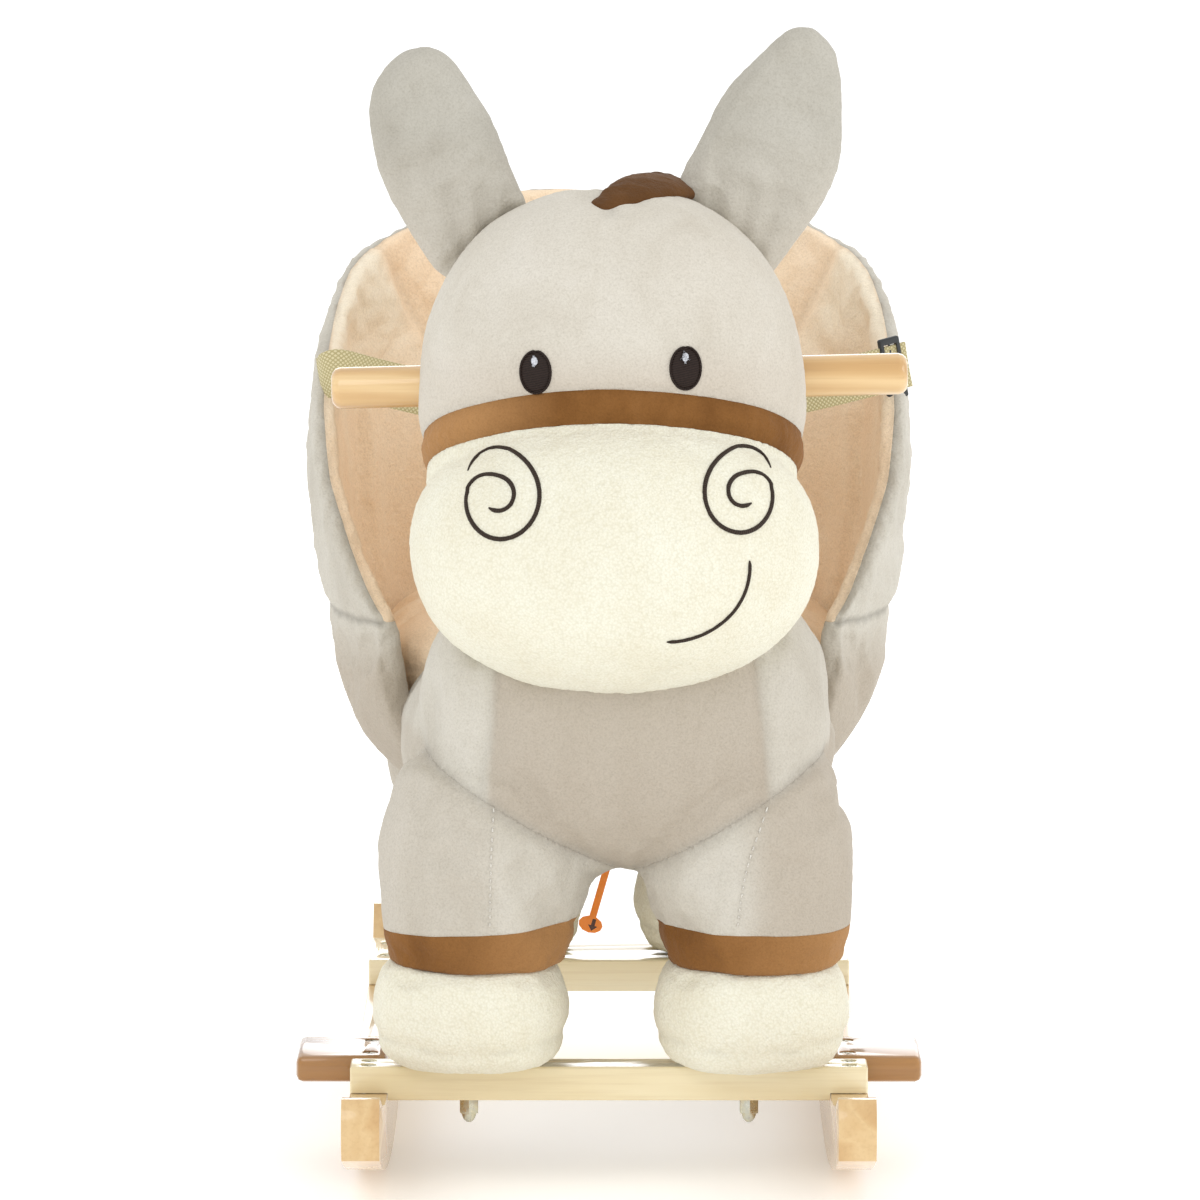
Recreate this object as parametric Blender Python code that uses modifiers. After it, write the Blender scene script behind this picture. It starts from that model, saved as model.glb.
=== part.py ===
"""Donkey rocker with an armchair seat on curved wooden runners.

Metres, +Z up. The donkey faces -Y and the rider's left is +X. The origin is on the floor, under the
middle of the object. The plush pieces are plain closed solids of the right size and place.
"""

import math

import bmesh
import bpy
from mathutils import Matrix, Vector

GAP = 0.0003                    # left between pieces that touch

# Wooden base
RUNNER_X = 0.12675              # middle of each runner
RUNNER_THICK = 0.0195
RUNNER_HALF = 0.287
RUNNER_RADIUS = 0.95            # of the rocking edge
RUNNER_FLAT = 0.030             # half length of the flat where it stands at rest
SEAT_OF_RAIL = 0.0506           # top edge of the runner under rails and pedals
TIP_FRONT, TIP_REAR = 0.074, 0.082
BASE_TOP = 0.065
RAIL_BOTTOM = 0.047
RAIL_HALF = 0.1365
FRONT_RAIL_Y = (-0.147, -0.123)
REAR_RAIL_Y = (0.169, 0.243)
PEDAL_X = (0.118, 0.166)
PEDAL_Y = (-0.1185, -0.058)

# Legs
FRONT_LEG_X = 0.074
REAR_LEG_X = 0.066
FRONT_LEG_Y = -0.135
REAR_LEG_Y = 0.206
POST_R = 0.012
BOLT_R = 0.003
HOOF_R = 0.0505
HOOF_TOP = 0.1215
LEG_R = 0.048
LEG_TOP = 0.180                 # the legs are cut to the underside of the body
LEG_GAP = 0.0015

# Seat board, neck and head
SEAT_BOARD = ((-0.088, 0.088), (-0.149, 0.2185), (0.2106, 0.2226))
NECK_Y = -0.105
HEAD_AT = (0.0, -0.118, 0.411)
HEAD_R = (0.1000, 0.0800, 0.1130)
MUZZLE_AT = (0.0, -0.158, 0.3430)
MUZZLE_R = (0.1040, 0.0850, 0.0735)
BAND_LOW, BAND_HIGH = 0.4130, 0.4300    # noseband edges at the front of the face
BAND_FRONT_Y = -0.200
BAND_TILT = math.radians(22)
HANDLE_R = 0.011
HANDLE_X = (-0.146, 0.157)
HANDLE_Z = 0.424
HANDLE_TILT = math.radians(1.5)

# Seat tub: plan is a squarish oval round TUB_Y
TUB_Y = 0.070
TUB_BOTTOM = 0.2245
TUB_POWER = 2.8
TUB_SPAN = 132                  # degrees from the middle of the back to each front edge
SHELL_THICK = 0.009
LINING_INSET = 0.0125
BACK_PAD, WING_PAD = 0.024, 0.010
BACK_LEAN = math.radians(3.7)
TUB_DEPTH = 0.1500                 # from the middle to the back, at the bottom
# Half the tub's width at each height.
TUB_HALF_WIDTH = [(0.2245, 0.1290), (0.2500, 0.1420), (0.2860, 0.1525), (0.3040, 0.1585),
                  (0.3260, 0.1625), (0.3600, 0.1653), (0.3950, 0.1638), (0.4200, 0.1597),
                  (0.4450, 0.1575), (0.4690, 0.1540), (0.5005, 0.1520)]
# Height of the rim at each angle in degrees, round from the middle of the back.
RIM_HEIGHT = [(0, 0.5005), (30, 0.4975), (42, 0.4835), (56, 0.4745), (72, 0.4640), (92, 0.4160),
              (103, 0.3820), (112, 0.3570), (122, 0.3270), (132, 0.2880)]

# Lap belt
WEB_WIDE, WEB_THICK = 0.025, 0.0018
BUCKLE_AT = (0.0, -0.010, 0.395)
BELT_START_LEFT = 0.0225           # where each half of the belt leaves the buckle
BELT_START_RIGHT = 0.0265
BUCKLE_WIDE, BUCKLE_THICK = 0.031, 0.011

# Sound unit
UNIT_X = 0.030
UNIT_Y = (-0.0835, -0.0155)
UNIT_Z = (0.1722, 0.1990)
TAB_TILT = math.radians(16)

COLLECTIONS = {}


# ---------------------------------------------------------------- helpers

def clear_scene():
    for obj in list(bpy.data.objects):
        bpy.data.objects.remove(obj, do_unlink=True)
    for name in ("donkey_rocker", "cutters"):
        COLLECTIONS[name] = bpy.data.collections.new(name)
        bpy.context.scene.collection.children.link(COLLECTIONS[name])


def material(name, colour, roughness, metallic=0.0):
    made = bpy.data.materials.new(name)
    made.use_nodes = True
    shader = made.node_tree.nodes["Principled BSDF"]
    shader.inputs["Base Color"].default_value = (*colour, 1.0)
    shader.inputs["Roughness"].default_value = roughness
    shader.inputs["Metallic"].default_value = metallic
    return made


def add_object(name, mesh, finish, collection="donkey_rocker"):
    obj = bpy.data.objects.new(name, mesh)
    COLLECTIONS[collection].objects.link(obj)
    if finish:
        mesh.materials.append(finish)
    return obj


def mesh_object(name, bm, finish):
    """Turns a bmesh into a node, with its faces pointing out and its round sides smooth."""
    bmesh.ops.recalc_face_normals(bm, faces=bm.faces)
    mesh = bpy.data.meshes.new(name)
    bm.to_mesh(mesh)
    bm.free()
    mesh.shade_smooth()
    mesh.set_sharp_from_angle(angle=math.radians(35))
    return add_object(name, mesh, finish)


def as_cutter(obj):
    """Moves a helper out of the model's own collection."""
    obj.hide_render = True
    obj.display_type = "WIRE"
    COLLECTIONS["donkey_rocker"].objects.unlink(obj)
    COLLECTIONS["cutters"].objects.link(obj)
    return obj


def boolean(obj, other, operation="DIFFERENCE"):
    modifier = obj.modifiers.new(operation.lower(), "BOOLEAN")
    modifier.operation = operation
    modifier.object = other
    modifier.solver = "EXACT"


def boolean_all(obj, cutters):
    """Cuts several helpers away in one step."""
    group = bpy.data.collections.new(obj.name + "_cutters")
    COLLECTIONS["cutters"].children.link(group)
    for cutter in cutters:
        as_cutter(cutter)
        group.objects.link(cutter)
    modifier = obj.modifiers.new("openings", "BOOLEAN")
    modifier.operand_type = "COLLECTION"
    modifier.collection = group
    modifier.solver = "EXACT"


def bevel(obj, width, segments=2):
    modifier = obj.modifiers.new("bevel", "BEVEL")
    modifier.width = width
    modifier.segments = segments
    modifier.limit_method = "ANGLE"


def block(name, x, y, z, finish=None, grow=0.0):
    """A box between the given low and high sides."""
    low = Vector((x[0], y[0], z[0])) - Vector((grow, grow, grow))
    high = Vector((x[1], y[1], z[1])) + Vector((grow, grow, grow))
    bm = bmesh.new()
    bmesh.ops.create_cube(bm, size=1.0)
    for vert in bm.verts:
        vert.co = Vector([low[i] + (vert.co[i] + 0.5) * (high[i] - low[i]) for i in range(3)])
    return mesh_object(name, bm, finish)


def plump(name, centre, radii, power, cuts, finish=None, grow=0.0):
    """A stuffed form: a cut cube drawn out to a rounded block. Power 2 gives an ellipsoid."""
    bm = bmesh.new()
    bmesh.ops.create_cube(bm, size=2.0)
    bmesh.ops.subdivide_edges(bm, edges=bm.edges, cuts=cuts, use_grid_fill=True)
    for vert in bm.verts:
        spread = Vector([math.tan(c * math.pi / 4) for c in vert.co])
        length = sum(abs(c) ** power for c in spread) ** (1 / power)
        vert.co = Vector([centre[i] + spread[i] / length * (radii[i] + grow) for i in range(3)])
    return mesh_object(name, bm, finish)


def turned(name, profile, at, finish, steps=20):
    """A turned piece. The profile's (radius, height) points run down its outer side."""
    bm = bmesh.new()
    verts = [bm.verts.new((r, 0.0, z)) for r, z in profile]
    for first, second in zip(verts, verts[1:]):
        bm.edges.new((first, second))
    mesh = bpy.data.meshes.new(name)
    bm.to_mesh(mesh)
    bm.free()
    obj = add_object(name, mesh, finish)
    obj.location = at
    modifier = obj.modifiers.new("turn", "SCREW")
    modifier.steps = modifier.render_steps = steps
    modifier.use_merge_vertices = True
    modifier.merge_threshold = 0.00005
    modifier.use_smooth_shade = False
    return obj


def rod(name, start, end, radius, finish, sides=16, dome=0.0):
    """A round bar between two points, its ends rounded over by dome."""
    start, end = Vector(start), Vector(end)
    bm = bmesh.new()
    bmesh.ops.create_cone(bm, cap_ends=True, segments=sides, radius1=radius, radius2=radius,
                          depth=(end - start).length)
    turn = (end - start).to_track_quat("Z", "Y").to_matrix().to_4x4()
    bmesh.ops.transform(bm, matrix=Matrix.Translation((start + end) / 2) @ turn, verts=bm.verts)
    obj = mesh_object(name, bm, finish)
    if dome:
        bevel(obj, dome, 3)
    return obj


def flat_outline(name, points, thickness, place, finish, smooth=True, steps=4):
    """A flat piece cut to an outline in its own XY plane, then set in place and made a mesh."""
    curve = bpy.data.curves.new(name, "CURVE")
    curve.dimensions = "2D"
    curve.fill_mode = "BOTH"
    curve.extrude = thickness / 2
    curve.resolution_u = steps
    spline = curve.splines.new("BEZIER")
    spline.bezier_points.add(len(points) - 1)
    for point, (x, y) in zip(spline.bezier_points, points):
        point.co = (x, y, 0.0)
        point.handle_left_type = point.handle_right_type = "AUTO" if smooth else "VECTOR"
    spline.use_cyclic_u = True
    drawn = bpy.data.objects.new(name + "_outline", curve)
    bpy.context.scene.collection.objects.link(drawn)
    drawn.matrix_world = place
    bpy.context.view_layer.update()
    graph = bpy.context.evaluated_depsgraph_get()
    mesh = bpy.data.meshes.new_from_object(drawn.evaluated_get(graph))
    bpy.data.objects.remove(drawn, do_unlink=True)
    bm = bmesh.new()
    bm.from_mesh(mesh)
    bmesh.ops.remove_doubles(bm, verts=bm.verts, dist=0.00001)
    bm.to_mesh(mesh)
    bm.free()
    mesh.name = name
    obj = add_object(name, mesh, finish)
    obj.matrix_world = place
    return obj


def ribbon(name, route, wide, thick, finish):
    """Webbing on edge: its width stands up along Z, and it follows the route."""
    bm = bmesh.new()
    bmesh.ops.create_grid(bm, x_segments=len(route) - 1, y_segments=1, size=0.5)
    for vert in bm.verts:
        point = route[round((vert.co.x + 0.5) * (len(route) - 1))]
        vert.co = Vector(point) + Vector((0.0, 0.0, vert.co.y * wide))
    obj = mesh_object(name, bm, finish)
    modifier = obj.modifiers.new("thickness", "SOLIDIFY")
    modifier.thickness = thick
    modifier.offset = 0.0
    return obj


def between(table, x):
    """A value read from a short table of (x, value), in a straight line between its rows."""
    for (x0, v0), (x1, v1) in zip(table, table[1:]):
        if x <= x1:
            share = max(0.0, (x - x0) / (x1 - x0))
            return v0 + (v1 - v0) * share
    return table[-1][1]


# ---------------------------------------------------------------- wooden base

def runner_outline():
    """Side view: round rocking edge with a flat in its middle, and tips that rise at both ends."""
    depth = RUNNER_RADIUS - math.sqrt(RUNNER_RADIUS ** 2 - RUNNER_FLAT ** 2)
    lower = []
    for step in range(17):
        y = -RUNNER_HALF + 0.004 + (2 * RUNNER_HALF - 0.008) * step / 16
        if abs(y) > RUNNER_FLAT:
            lower.append((y, RUNNER_RADIUS - math.sqrt(RUNNER_RADIUS ** 2 - y * y) - depth))
    middle = len(lower) // 2
    lower[middle:middle] = [(-RUNNER_FLAT, 0.0), (RUNNER_FLAT, 0.0)]
    rear = [(RUNNER_HALF, 0.052), (RUNNER_HALF, TIP_REAR - 0.012), (RUNNER_HALF - 0.006, TIP_REAR - 0.003),
            (RUNNER_HALF - 0.016, TIP_REAR - 0.002), (REAR_RAIL_Y[1] + 0.008, SEAT_OF_RAIL + 0.008),
            (REAR_RAIL_Y[1] + 0.001, SEAT_OF_RAIL)]
    front = [(FRONT_RAIL_Y[0] - 0.001, SEAT_OF_RAIL), (-0.185, SEAT_OF_RAIL + 0.002),
             (-0.230, SEAT_OF_RAIL + 0.010), (-RUNNER_HALF + 0.018, TIP_FRONT - 0.001),
             (-RUNNER_HALF + 0.008, TIP_FRONT), (-RUNNER_HALF + 0.002, TIP_FRONT - 0.006),
             (-RUNNER_HALF, TIP_FRONT - 0.014), (-RUNNER_HALF, 0.050)]
    return lower + rear + front


def runner(side, sign, finish):
    """Stands on edge: outline X is the object's Y, outline Y is its Z."""
    place = Matrix(((0, 0, 1, sign * RUNNER_X), (1, 0, 0, 0), (0, 1, 0, 0), (0, 0, 0, 1)))
    obj = flat_outline(f"rocker_{side}", runner_outline(), RUNNER_THICK, place, finish, smooth=False, steps=1)
    for index, y in enumerate(screw_rows()):
        boolean(obj, screw(f"rocker_{side}_hole_{index}", sign, y, None, GAP))
    return obj


def screw_rows():
    """Y of the screws that hold each cross board to a runner: rail, pedal, rear rail."""
    front = [FRONT_RAIL_Y[0] + 0.006, FRONT_RAIL_Y[1] - 0.006]
    pedal = [PEDAL_Y[0] + 0.013, PEDAL_Y[1] - 0.013]
    rear = [REAR_RAIL_Y[0] + 0.018, REAR_RAIL_Y[1] - 0.018]
    return front + pedal + rear


def screw(name, sign, y, finish, grow=0.0):
    """A countersunk wood screw, or with grow and no finish the hole that takes it."""
    top = BASE_TOP - 0.0006 if finish else BASE_TOP + 0.001
    head, shank, end = 0.0040 + grow, 0.0018 + grow, BASE_TOP - 0.032 - grow
    profile = [(0.0, top), (head, top), (head, BASE_TOP - 0.0010), (shank, BASE_TOP - 0.0034),
               (shank, end), (0.0, end - 0.003)]
    obj = turned(name, profile, (sign * RUNNER_X, y, 0.0), finish, steps=10)
    return obj if finish else as_cutter(obj)


def screws(finish):
    names = ["front_rail_screw", "front_rail_screw", "pedal_screw", "pedal_screw",
             "rear_rail_screw", "rear_rail_screw"]
    for side, sign in (("left", 1), ("right", -1)):
        for index, (name, y) in enumerate(zip(names, screw_rows())):
            screw(f"{name}_{side}_{index % 2 + 1}", sign, y, finish)


def rail(name, y, finish):
    """A cross board, notched at both ends to sit down over the runners."""
    obj = block(name, (-RAIL_HALF, RAIL_HALF), y, (RAIL_BOTTOM, BASE_TOP), finish)
    bevel(obj, 0.0008, 1)
    for sign in (-1, 1):
        inner = sign * (RUNNER_X - RUNNER_THICK / 2 - GAP)
        outer = sign * (RAIL_HALF + 0.002)
        notch = block(f"{name}_notch_{sign}", (min(inner, outer), max(inner, outer)),
                      (y[0] - 0.002, y[1] + 0.002), (RAIL_BOTTOM - 0.002, SEAT_OF_RAIL + GAP))
        boolean(obj, as_cutter(notch))
        for index, row in enumerate(screw_rows()):
            if y[0] < row < y[1]:
                boolean(obj, screw(f"{name}_hole_{sign}_{index}", sign, row, None, GAP))
        leg_x, leg_y = (FRONT_LEG_X, FRONT_LEG_Y) if y == FRONT_RAIL_Y else (REAR_LEG_X, REAR_LEG_Y)
        bolt_hole = rod(f"{name}_bolt_hole_{sign}", (sign * leg_x, leg_y, RAIL_BOTTOM - 0.01),
                        (sign * leg_x, leg_y, BASE_TOP + 0.01), BOLT_R + GAP, None, sides=10)
        boolean(obj, as_cutter(bolt_hole))
    return obj


def pedal(side, sign, finish):
    """A foot board with rounded corners, screwed down on the runner."""
    x = sorted((sign * PEDAL_X[0], sign * PEDAL_X[1]))
    obj = block(f"pedal_{side}", x, PEDAL_Y, (SEAT_OF_RAIL + GAP, BASE_TOP), finish)
    corner = obj.modifiers.new("corners", "BEVEL")
    corner.width = 0.0035
    corner.segments = 2
    corner.limit_method = "ANGLE"
    for index, row in enumerate(screw_rows()[2:4]):
        boolean(obj, screw(f"pedal_{side}_hole_{index}", sign, row, None, GAP))
    return obj


def leg_bolt(name, x, y, finish):
    """A dome-headed hex bolt: its head shows under the rail, its shank goes up into the leg post."""
    top = RAIL_BOTTOM - GAP
    dome = [(0.0, top), (0.0055, top), (0.0055, top - 0.0060), (0.0046, top - 0.0072),
            (0.0044, top - 0.0100), (0.0030, top - 0.0128), (0.0, top - 0.0137)]
    obj = turned(name, dome, (x, y, 0.0), finish, steps=12)
    shank = rod(name + "_shank", (x, y, top - 0.002), (x, y, 0.104), BOLT_R, None, sides=10)
    boolean(obj, as_cutter(shank), "UNION")
    return obj


# ---------------------------------------------------------------- frame in the plush

def leg_post(name, x, y, finish):
    bottom, top = BASE_TOP + GAP, SEAT_BOARD[2][0] - GAP
    profile = [(0.0, top), (POST_R, top), (POST_R, bottom), (BOLT_R + GAP, bottom),
               (BOLT_R + GAP, 0.108), (0.0, 0.108)]
    return turned(name, profile, (x, y, 0.0), finish, steps=16)


def back_board(name, finish, grow=0.0):
    """A plywood panel in the backrest. It leans with the seat's back."""
    obj = block(name, (-0.055, 0.055), (-0.003, 0.003), (0.0, 0.232), finish, grow)
    obj.location = (0.0, TUB_Y + 0.1290, SEAT_BOARD[2][1] + 0.0008)
    obj.rotation_euler = (-BACK_LEAN, 0.0, 0.0)
    return obj


def neck_post(name, finish, grow=0.0):
    obj = block(name, (-0.024, 0.024), (NECK_Y - 0.015, NECK_Y + 0.015),
                (SEAT_BOARD[2][1] + GAP, 0.470), finish, grow)
    return obj


def handle(name, radius, finish, dome=0.0):
    """The dowel through the head. It was fitted a little out of level."""
    ends = [(x, NECK_Y, HANDLE_Z + (x - 0.0055) * math.sin(HANDLE_TILT)) for x in HANDLE_X]
    return rod(name, ends[0], ends[1], radius, finish, sides=20, dome=dome)


# ---------------------------------------------------------------- plush body

def leg_parts(name, x, y, hoof_finish, leg_finish):
    hole = POST_R + GAP
    hoof = [(hole, HOOF_TOP), (0.0455, HOOF_TOP), (0.0495, 0.108), (HOOF_R, 0.093), (0.0475, 0.078),
            (0.0410, 0.0690), (0.034, BASE_TOP + GAP), (hole, BASE_TOP + GAP), (hole, HOOF_TOP)]
    turned(f"hoof_{name}", hoof, (x, y, 0.0), hoof_finish, steps=20)
    low = HOOF_TOP + GAP
    leg = [(hole, LEG_TOP), (LEG_R - 0.004, LEG_TOP), (LEG_R, 0.160), (LEG_R - 0.001, 0.136), (0.0445, low),
           (hole, low), (hole, LEG_TOP)]
    stuffed = turned(f"leg_{name}", leg, (x, y, 0.0), leg_finish, steps=20)
    boolean_all(stuffed, [belly(f"leg_{name}_belly", LEG_GAP), chest(f"leg_{name}_chest", LEG_GAP)])


def belly(name, grow, finish=None):
    """The body under the seat, without the chest."""
    return plump(name, (0.0, 0.0360, 0.2200), (0.1200, 0.1990, 0.0540), 5.0, 8, finish, grow)


def chest(name, grow):
    return plump(name, (0.0, -0.1080, 0.2510), (0.1060, 0.0750, 0.0820), 3.0, 7, None, grow)


def head_blank(name, grow, finish=None):
    """Head and muzzle as one stuffed form."""
    head = plump(name, HEAD_AT, HEAD_R, 2.3, 7, finish, grow)
    muzzle = as_cutter(plump(name + "_muzzle", MUZZLE_AT, MUZZLE_R, 2.2, 7, None, grow))
    boolean(head, muzzle, "UNION")
    return head


def slab(name, low, high):
    """Cuts the head across, tilted so that its cut rises towards the front."""
    obj = block(name, (-0.2, 0.2), (-0.3, 0.3), (low, high))
    pivot = Vector((0.0, BAND_FRONT_Y, (BAND_LOW + BAND_HIGH) / 2))
    below = Matrix.Translation((0.0, 0.0, -pivot.z))
    obj.matrix_world = Matrix.Translation(pivot) @ Matrix.Rotation(-BAND_TILT, 4, "X") @ below
    return as_cutter(obj)


def head_parts(gray, cream, brown):
    """The blank is divided into head, noseband and muzzle, and bored for the neck post and handle."""
    post = as_cutter(neck_post("neck_hole", None, 0.0004))
    bar = as_cutter(handle("handle_hole", HANDLE_R + 0.0004, None))
    spans = (("head", BAND_HIGH + GAP, 0.8, gray), ("noseband", BAND_LOW, BAND_HIGH, brown),
             ("muzzle", 0.0, BAND_LOW - GAP, cream))
    for name, low, high, finish in spans:
        piece = head_blank(name, 0.0, finish)
        boolean(piece, slab(name + "_cut", low, high), "INTERSECT")
        boolean(piece, post)
        boolean(piece, bar)


def ear(side, outline, finish):
    """A flat stuffed ear, standing up from the crown."""
    place = Matrix(((1, 0, 0, 0), (0, 0, -1, -0.098), (0, 1, 0, 0), (0, 0, 0, 1)))
    obj = flat_outline(f"ear_{side}", outline, 0.020, place, finish, steps=3)
    boolean(obj, as_cutter(head_blank(f"ear_{side}_seat", 0.0006)))
    return obj


def ears(finish):
    """Outline points (x, z): tip, outer side, base, inner side."""
    left = [(0.1080, 0.6090), (0.1220, 0.5600), (0.1170, 0.5270), (0.0950, 0.4960), (0.0780, 0.4820),
            (0.0360, 0.5080), (0.0490, 0.5530), (0.0750, 0.5900)]
    right = [(-0.0960, 0.5990), (-0.1220, 0.5810), (-0.1250, 0.5520), (-0.1090, 0.5100), (-0.0810, 0.4830),
             (-0.0430, 0.5090), (-0.0520, 0.5340), (-0.0730, 0.5800)]
    ear("left", left, finish)
    ear("right", right, finish)


def mane(finish):
    """A crest down the nape, from between the ears."""
    obj = plump("mane", (0.016, -0.0500, 0.4700), (0.027, 0.0370, 0.0660), 2.5, 5, finish)
    boolean(obj, as_cutter(head_blank("mane_seat", 0.0006)))
    return obj


def tail(finish):
    profile = [(0.0, 0.262), (0.006, 0.258), (0.007, 0.205), (0.012, 0.185), (0.0145, 0.165),
               (0.010, 0.140), (0.0, 0.128)]
    return turned("tail", profile, (0.0, 0.2515, 0.0), finish, steps=12)


def torso(finish):
    """Belly, chest and neck as one stuffed form, open where the frame and the sound unit go in."""
    obj = belly("torso", 0.0, finish)
    boolean(obj, as_cutter(chest("chest", 0.0)), "UNION")
    holes = [
        block("seat_board_pocket", *SEAT_BOARD, grow=GAP),
        block("seat_space", (-0.2, 0.2), (-0.0455, 0.3), (SEAT_BOARD[2][1] - 2 * GAP, 0.4)),
        head_blank("torso_head_space", 0.0008),
        neck_post("torso_neck_hole", None, 0.0005),
        block("unit_pocket", (-UNIT_X - 0.002, UNIT_X + 0.002), (UNIT_Y[0] - 0.011, UNIT_Y[1] + 0.003),
              (0.150, UNIT_Z[1] + 0.001)),
    ]
    for index, (x, y) in enumerate(leg_places().values()):
        holes.append(rod(f"torso_post_hole_{index}", (x, y, 0.15), (x, y, SEAT_BOARD[2][0] + 0.002),
                         POST_R + GAP, None, sides=16))
    boolean_all(obj, holes)
    return obj


# ---------------------------------------------------------------- seat

def rim_height(angle):
    """Top edge of the tub: level over the back, then falling along the wings to the seat front."""
    return between(RIM_HEIGHT, abs(angle))


def tub_point(angle, z, inset):
    """A point of the tub's surface, at this many degrees round from the middle of the back."""
    wide = between(TUB_HALF_WIDTH, z) - inset
    deep = TUB_DEPTH + (z - TUB_BOTTOM) * math.tan(BACK_LEAN) - inset
    turn = math.radians(angle)
    power = 2 / TUB_POWER
    x = wide * math.copysign(abs(math.sin(turn)) ** power, math.sin(turn))
    y = TUB_Y + deep * math.copysign(abs(math.cos(turn)) ** power, math.cos(turn))
    return Vector((x, y, z))


def tub(name, inset, drop, thickness, wing_share, columns, rows, finish):
    """One layer of the tub: an open wall round the back and wings, thickened inwards."""
    bm = bmesh.new()
    bmesh.ops.create_grid(bm, x_segments=columns, y_segments=rows, size=0.5)
    pad = bm.verts.layers.deform.verify()
    for vert in bm.verts:
        angle = 2 * vert.co.x * TUB_SPAN
        top = rim_height(angle) - drop
        z = TUB_BOTTOM + (vert.co.y + 0.5) * (top - TUB_BOTTOM)
        vert.co = tub_point(angle, z, inset)
        vert[pad][0] = between([(0, 1.0), (38, 1.0), (70, wing_share), (180, wing_share)], abs(angle))
    bmesh.ops.recalc_face_normals(bm, faces=bm.faces)
    middle = min(bm.faces, key=lambda face: (face.calc_center_median() - Vector((0, 0.22, 0.35))).length)
    if middle.normal.y < 0:
        bmesh.ops.reverse_faces(bm, faces=bm.faces)
    mesh = bpy.data.meshes.new(name)
    bm.to_mesh(mesh)
    bm.free()
    mesh.shade_smooth()
    obj = add_object(name, mesh, finish)
    obj.vertex_groups.new(name="padding")
    modifier = obj.modifiers.new("thickness", "SOLIDIFY")
    modifier.thickness = thickness
    modifier.offset = -1.0
    modifier.vertex_group = "padding"
    return obj


def seat(gray, peach):
    tub("seat_shell", 0.0, 0.0, SHELL_THICK, 1.0, 26, 6, gray)
    lining = tub("seat_lining", LINING_INSET, 0.003, BACK_PAD, WING_PAD / BACK_PAD, 26, 6, peach)
    boolean(lining, as_cutter(back_board("back_board_pocket", None, 0.0006)))
    plump("seat_cushion", (0.0, 0.0680, 0.2540), (0.1020, 0.1070, 0.0300), 2.9, 7, peach)


# ---------------------------------------------------------------- lap belt

def belt_route(sign, start_x):
    """From the buckle out and up to where the webbing comes from the wing's rim."""
    x0, y0, z0 = BUCKLE_AT
    end = Vector((sign * 0.1630, 0.0330, 0.4190))
    points = []
    for step in range(9):
        share = step / 8
        x = sign * (start_x + (abs(end.x) - start_x) * share)
        y = y0 + (end.y - y0) * share ** 1.6
        z = z0 + (end.z - z0) * share ** 1.3
        points.append((x, y, z))
    return points


def glide_frame():
    """Where the slider sits on the webbing, as a frame whose X runs along the webbing."""
    route = [Vector(p) for p in belt_route(1, BELT_START_LEFT)]
    start, end = route[-2], route[-1]
    middle = (start + end) / 2
    along = (end - start).normalized()
    across = Vector((0.0, 0.0, 1.0))
    normal = along.cross(across).normalized()
    up = normal.cross(along).normalized()
    return Matrix.Translation(middle) @ Matrix((along, up, normal)).transposed().to_4x4()


def tri_glide(finish):
    """A plastic slider that the webbing runs through."""
    place = glide_frame()
    obj = block("tri_glide", (-0.0065, 0.0065), (-0.0170, 0.0170), (-0.0026, 0.0026), finish)
    slot = block("tri_glide_slot", (-0.02, 0.02), (-0.0150, 0.0150), (-0.0014, 0.0014))
    obj.matrix_world = place
    slot.matrix_world = place
    boolean(obj, as_cutter(slot))
    return obj


def buckle(finish):
    """Socket and plug of a side-release buckle, the plug pushed home."""
    x, y, z = BUCKLE_AT
    half, deep = BUCKLE_WIDE / 2, BUCKLE_THICK / 2
    body_y, body_z = (y - deep, y + deep), (z - half, z + half)
    socket = block("buckle_socket", (x - 0.026, x + 0.004), body_y, body_z, finish)
    mouth = block("buckle_mouth", (x - 0.015, x + 0.01), (y - 0.0032, y + 0.0032), (z - 0.0125, z + 0.0125))
    boolean(socket, as_cutter(mouth))
    plug = block("buckle_plug", (x + 0.0043, x + 0.0220), body_y, body_z, finish)
    tongue = block("buckle_tongue", (x - 0.0120, x + 0.006), (y - 0.0026, y + 0.0026), (z - 0.0118, z + 0.0118))
    boolean(plug, as_cutter(tongue), "UNION")


def belt(web, plastic):
    ribbon("belt_left", belt_route(1, BELT_START_LEFT), WEB_WIDE, WEB_THICK, web)
    ribbon("belt_right", belt_route(-1, BELT_START_RIGHT), WEB_WIDE, WEB_THICK, web)
    tri_glide(plastic)
    buckle(plastic)


# ---------------------------------------------------------------- sound unit

def sound_unit(plastic, metal):
    """A box in a pocket of the belly, with a battery bay that opens downwards."""
    box = block("sound_module", (-UNIT_X, UNIT_X), UNIT_Y, UNIT_Z, plastic)
    bay = block("battery_bay", (-0.026, 0.026), (UNIT_Y[0] + 0.002, -0.0350), (UNIT_Z[0] - 0.002, 0.1940))
    boolean(box, as_cutter(bay))
    guide = rod("button_hole", (0.0160, UNIT_Y[0] - 0.002, 0.1855), (0.0160, UNIT_Y[0] + 0.004, 0.1855),
                0.0044, None, sides=16)
    boolean(box, as_cutter(guide))
    block("battery_door", (-0.0255, 0.0255), (-0.0775, -0.0300), (0.1694, 0.1716), plastic)
    rod("battery", (-0.0160, -0.0620, 0.1830), (0.0160, -0.0620, 0.1830), 0.0070, metal, sides=16)
    rod("sound_button", (0.0160, UNIT_Y[0] - 0.0045, 0.1855), (0.0160, UNIT_Y[0] + 0.0015, 0.1855),
        0.0040, plastic, sides=16)


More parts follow.
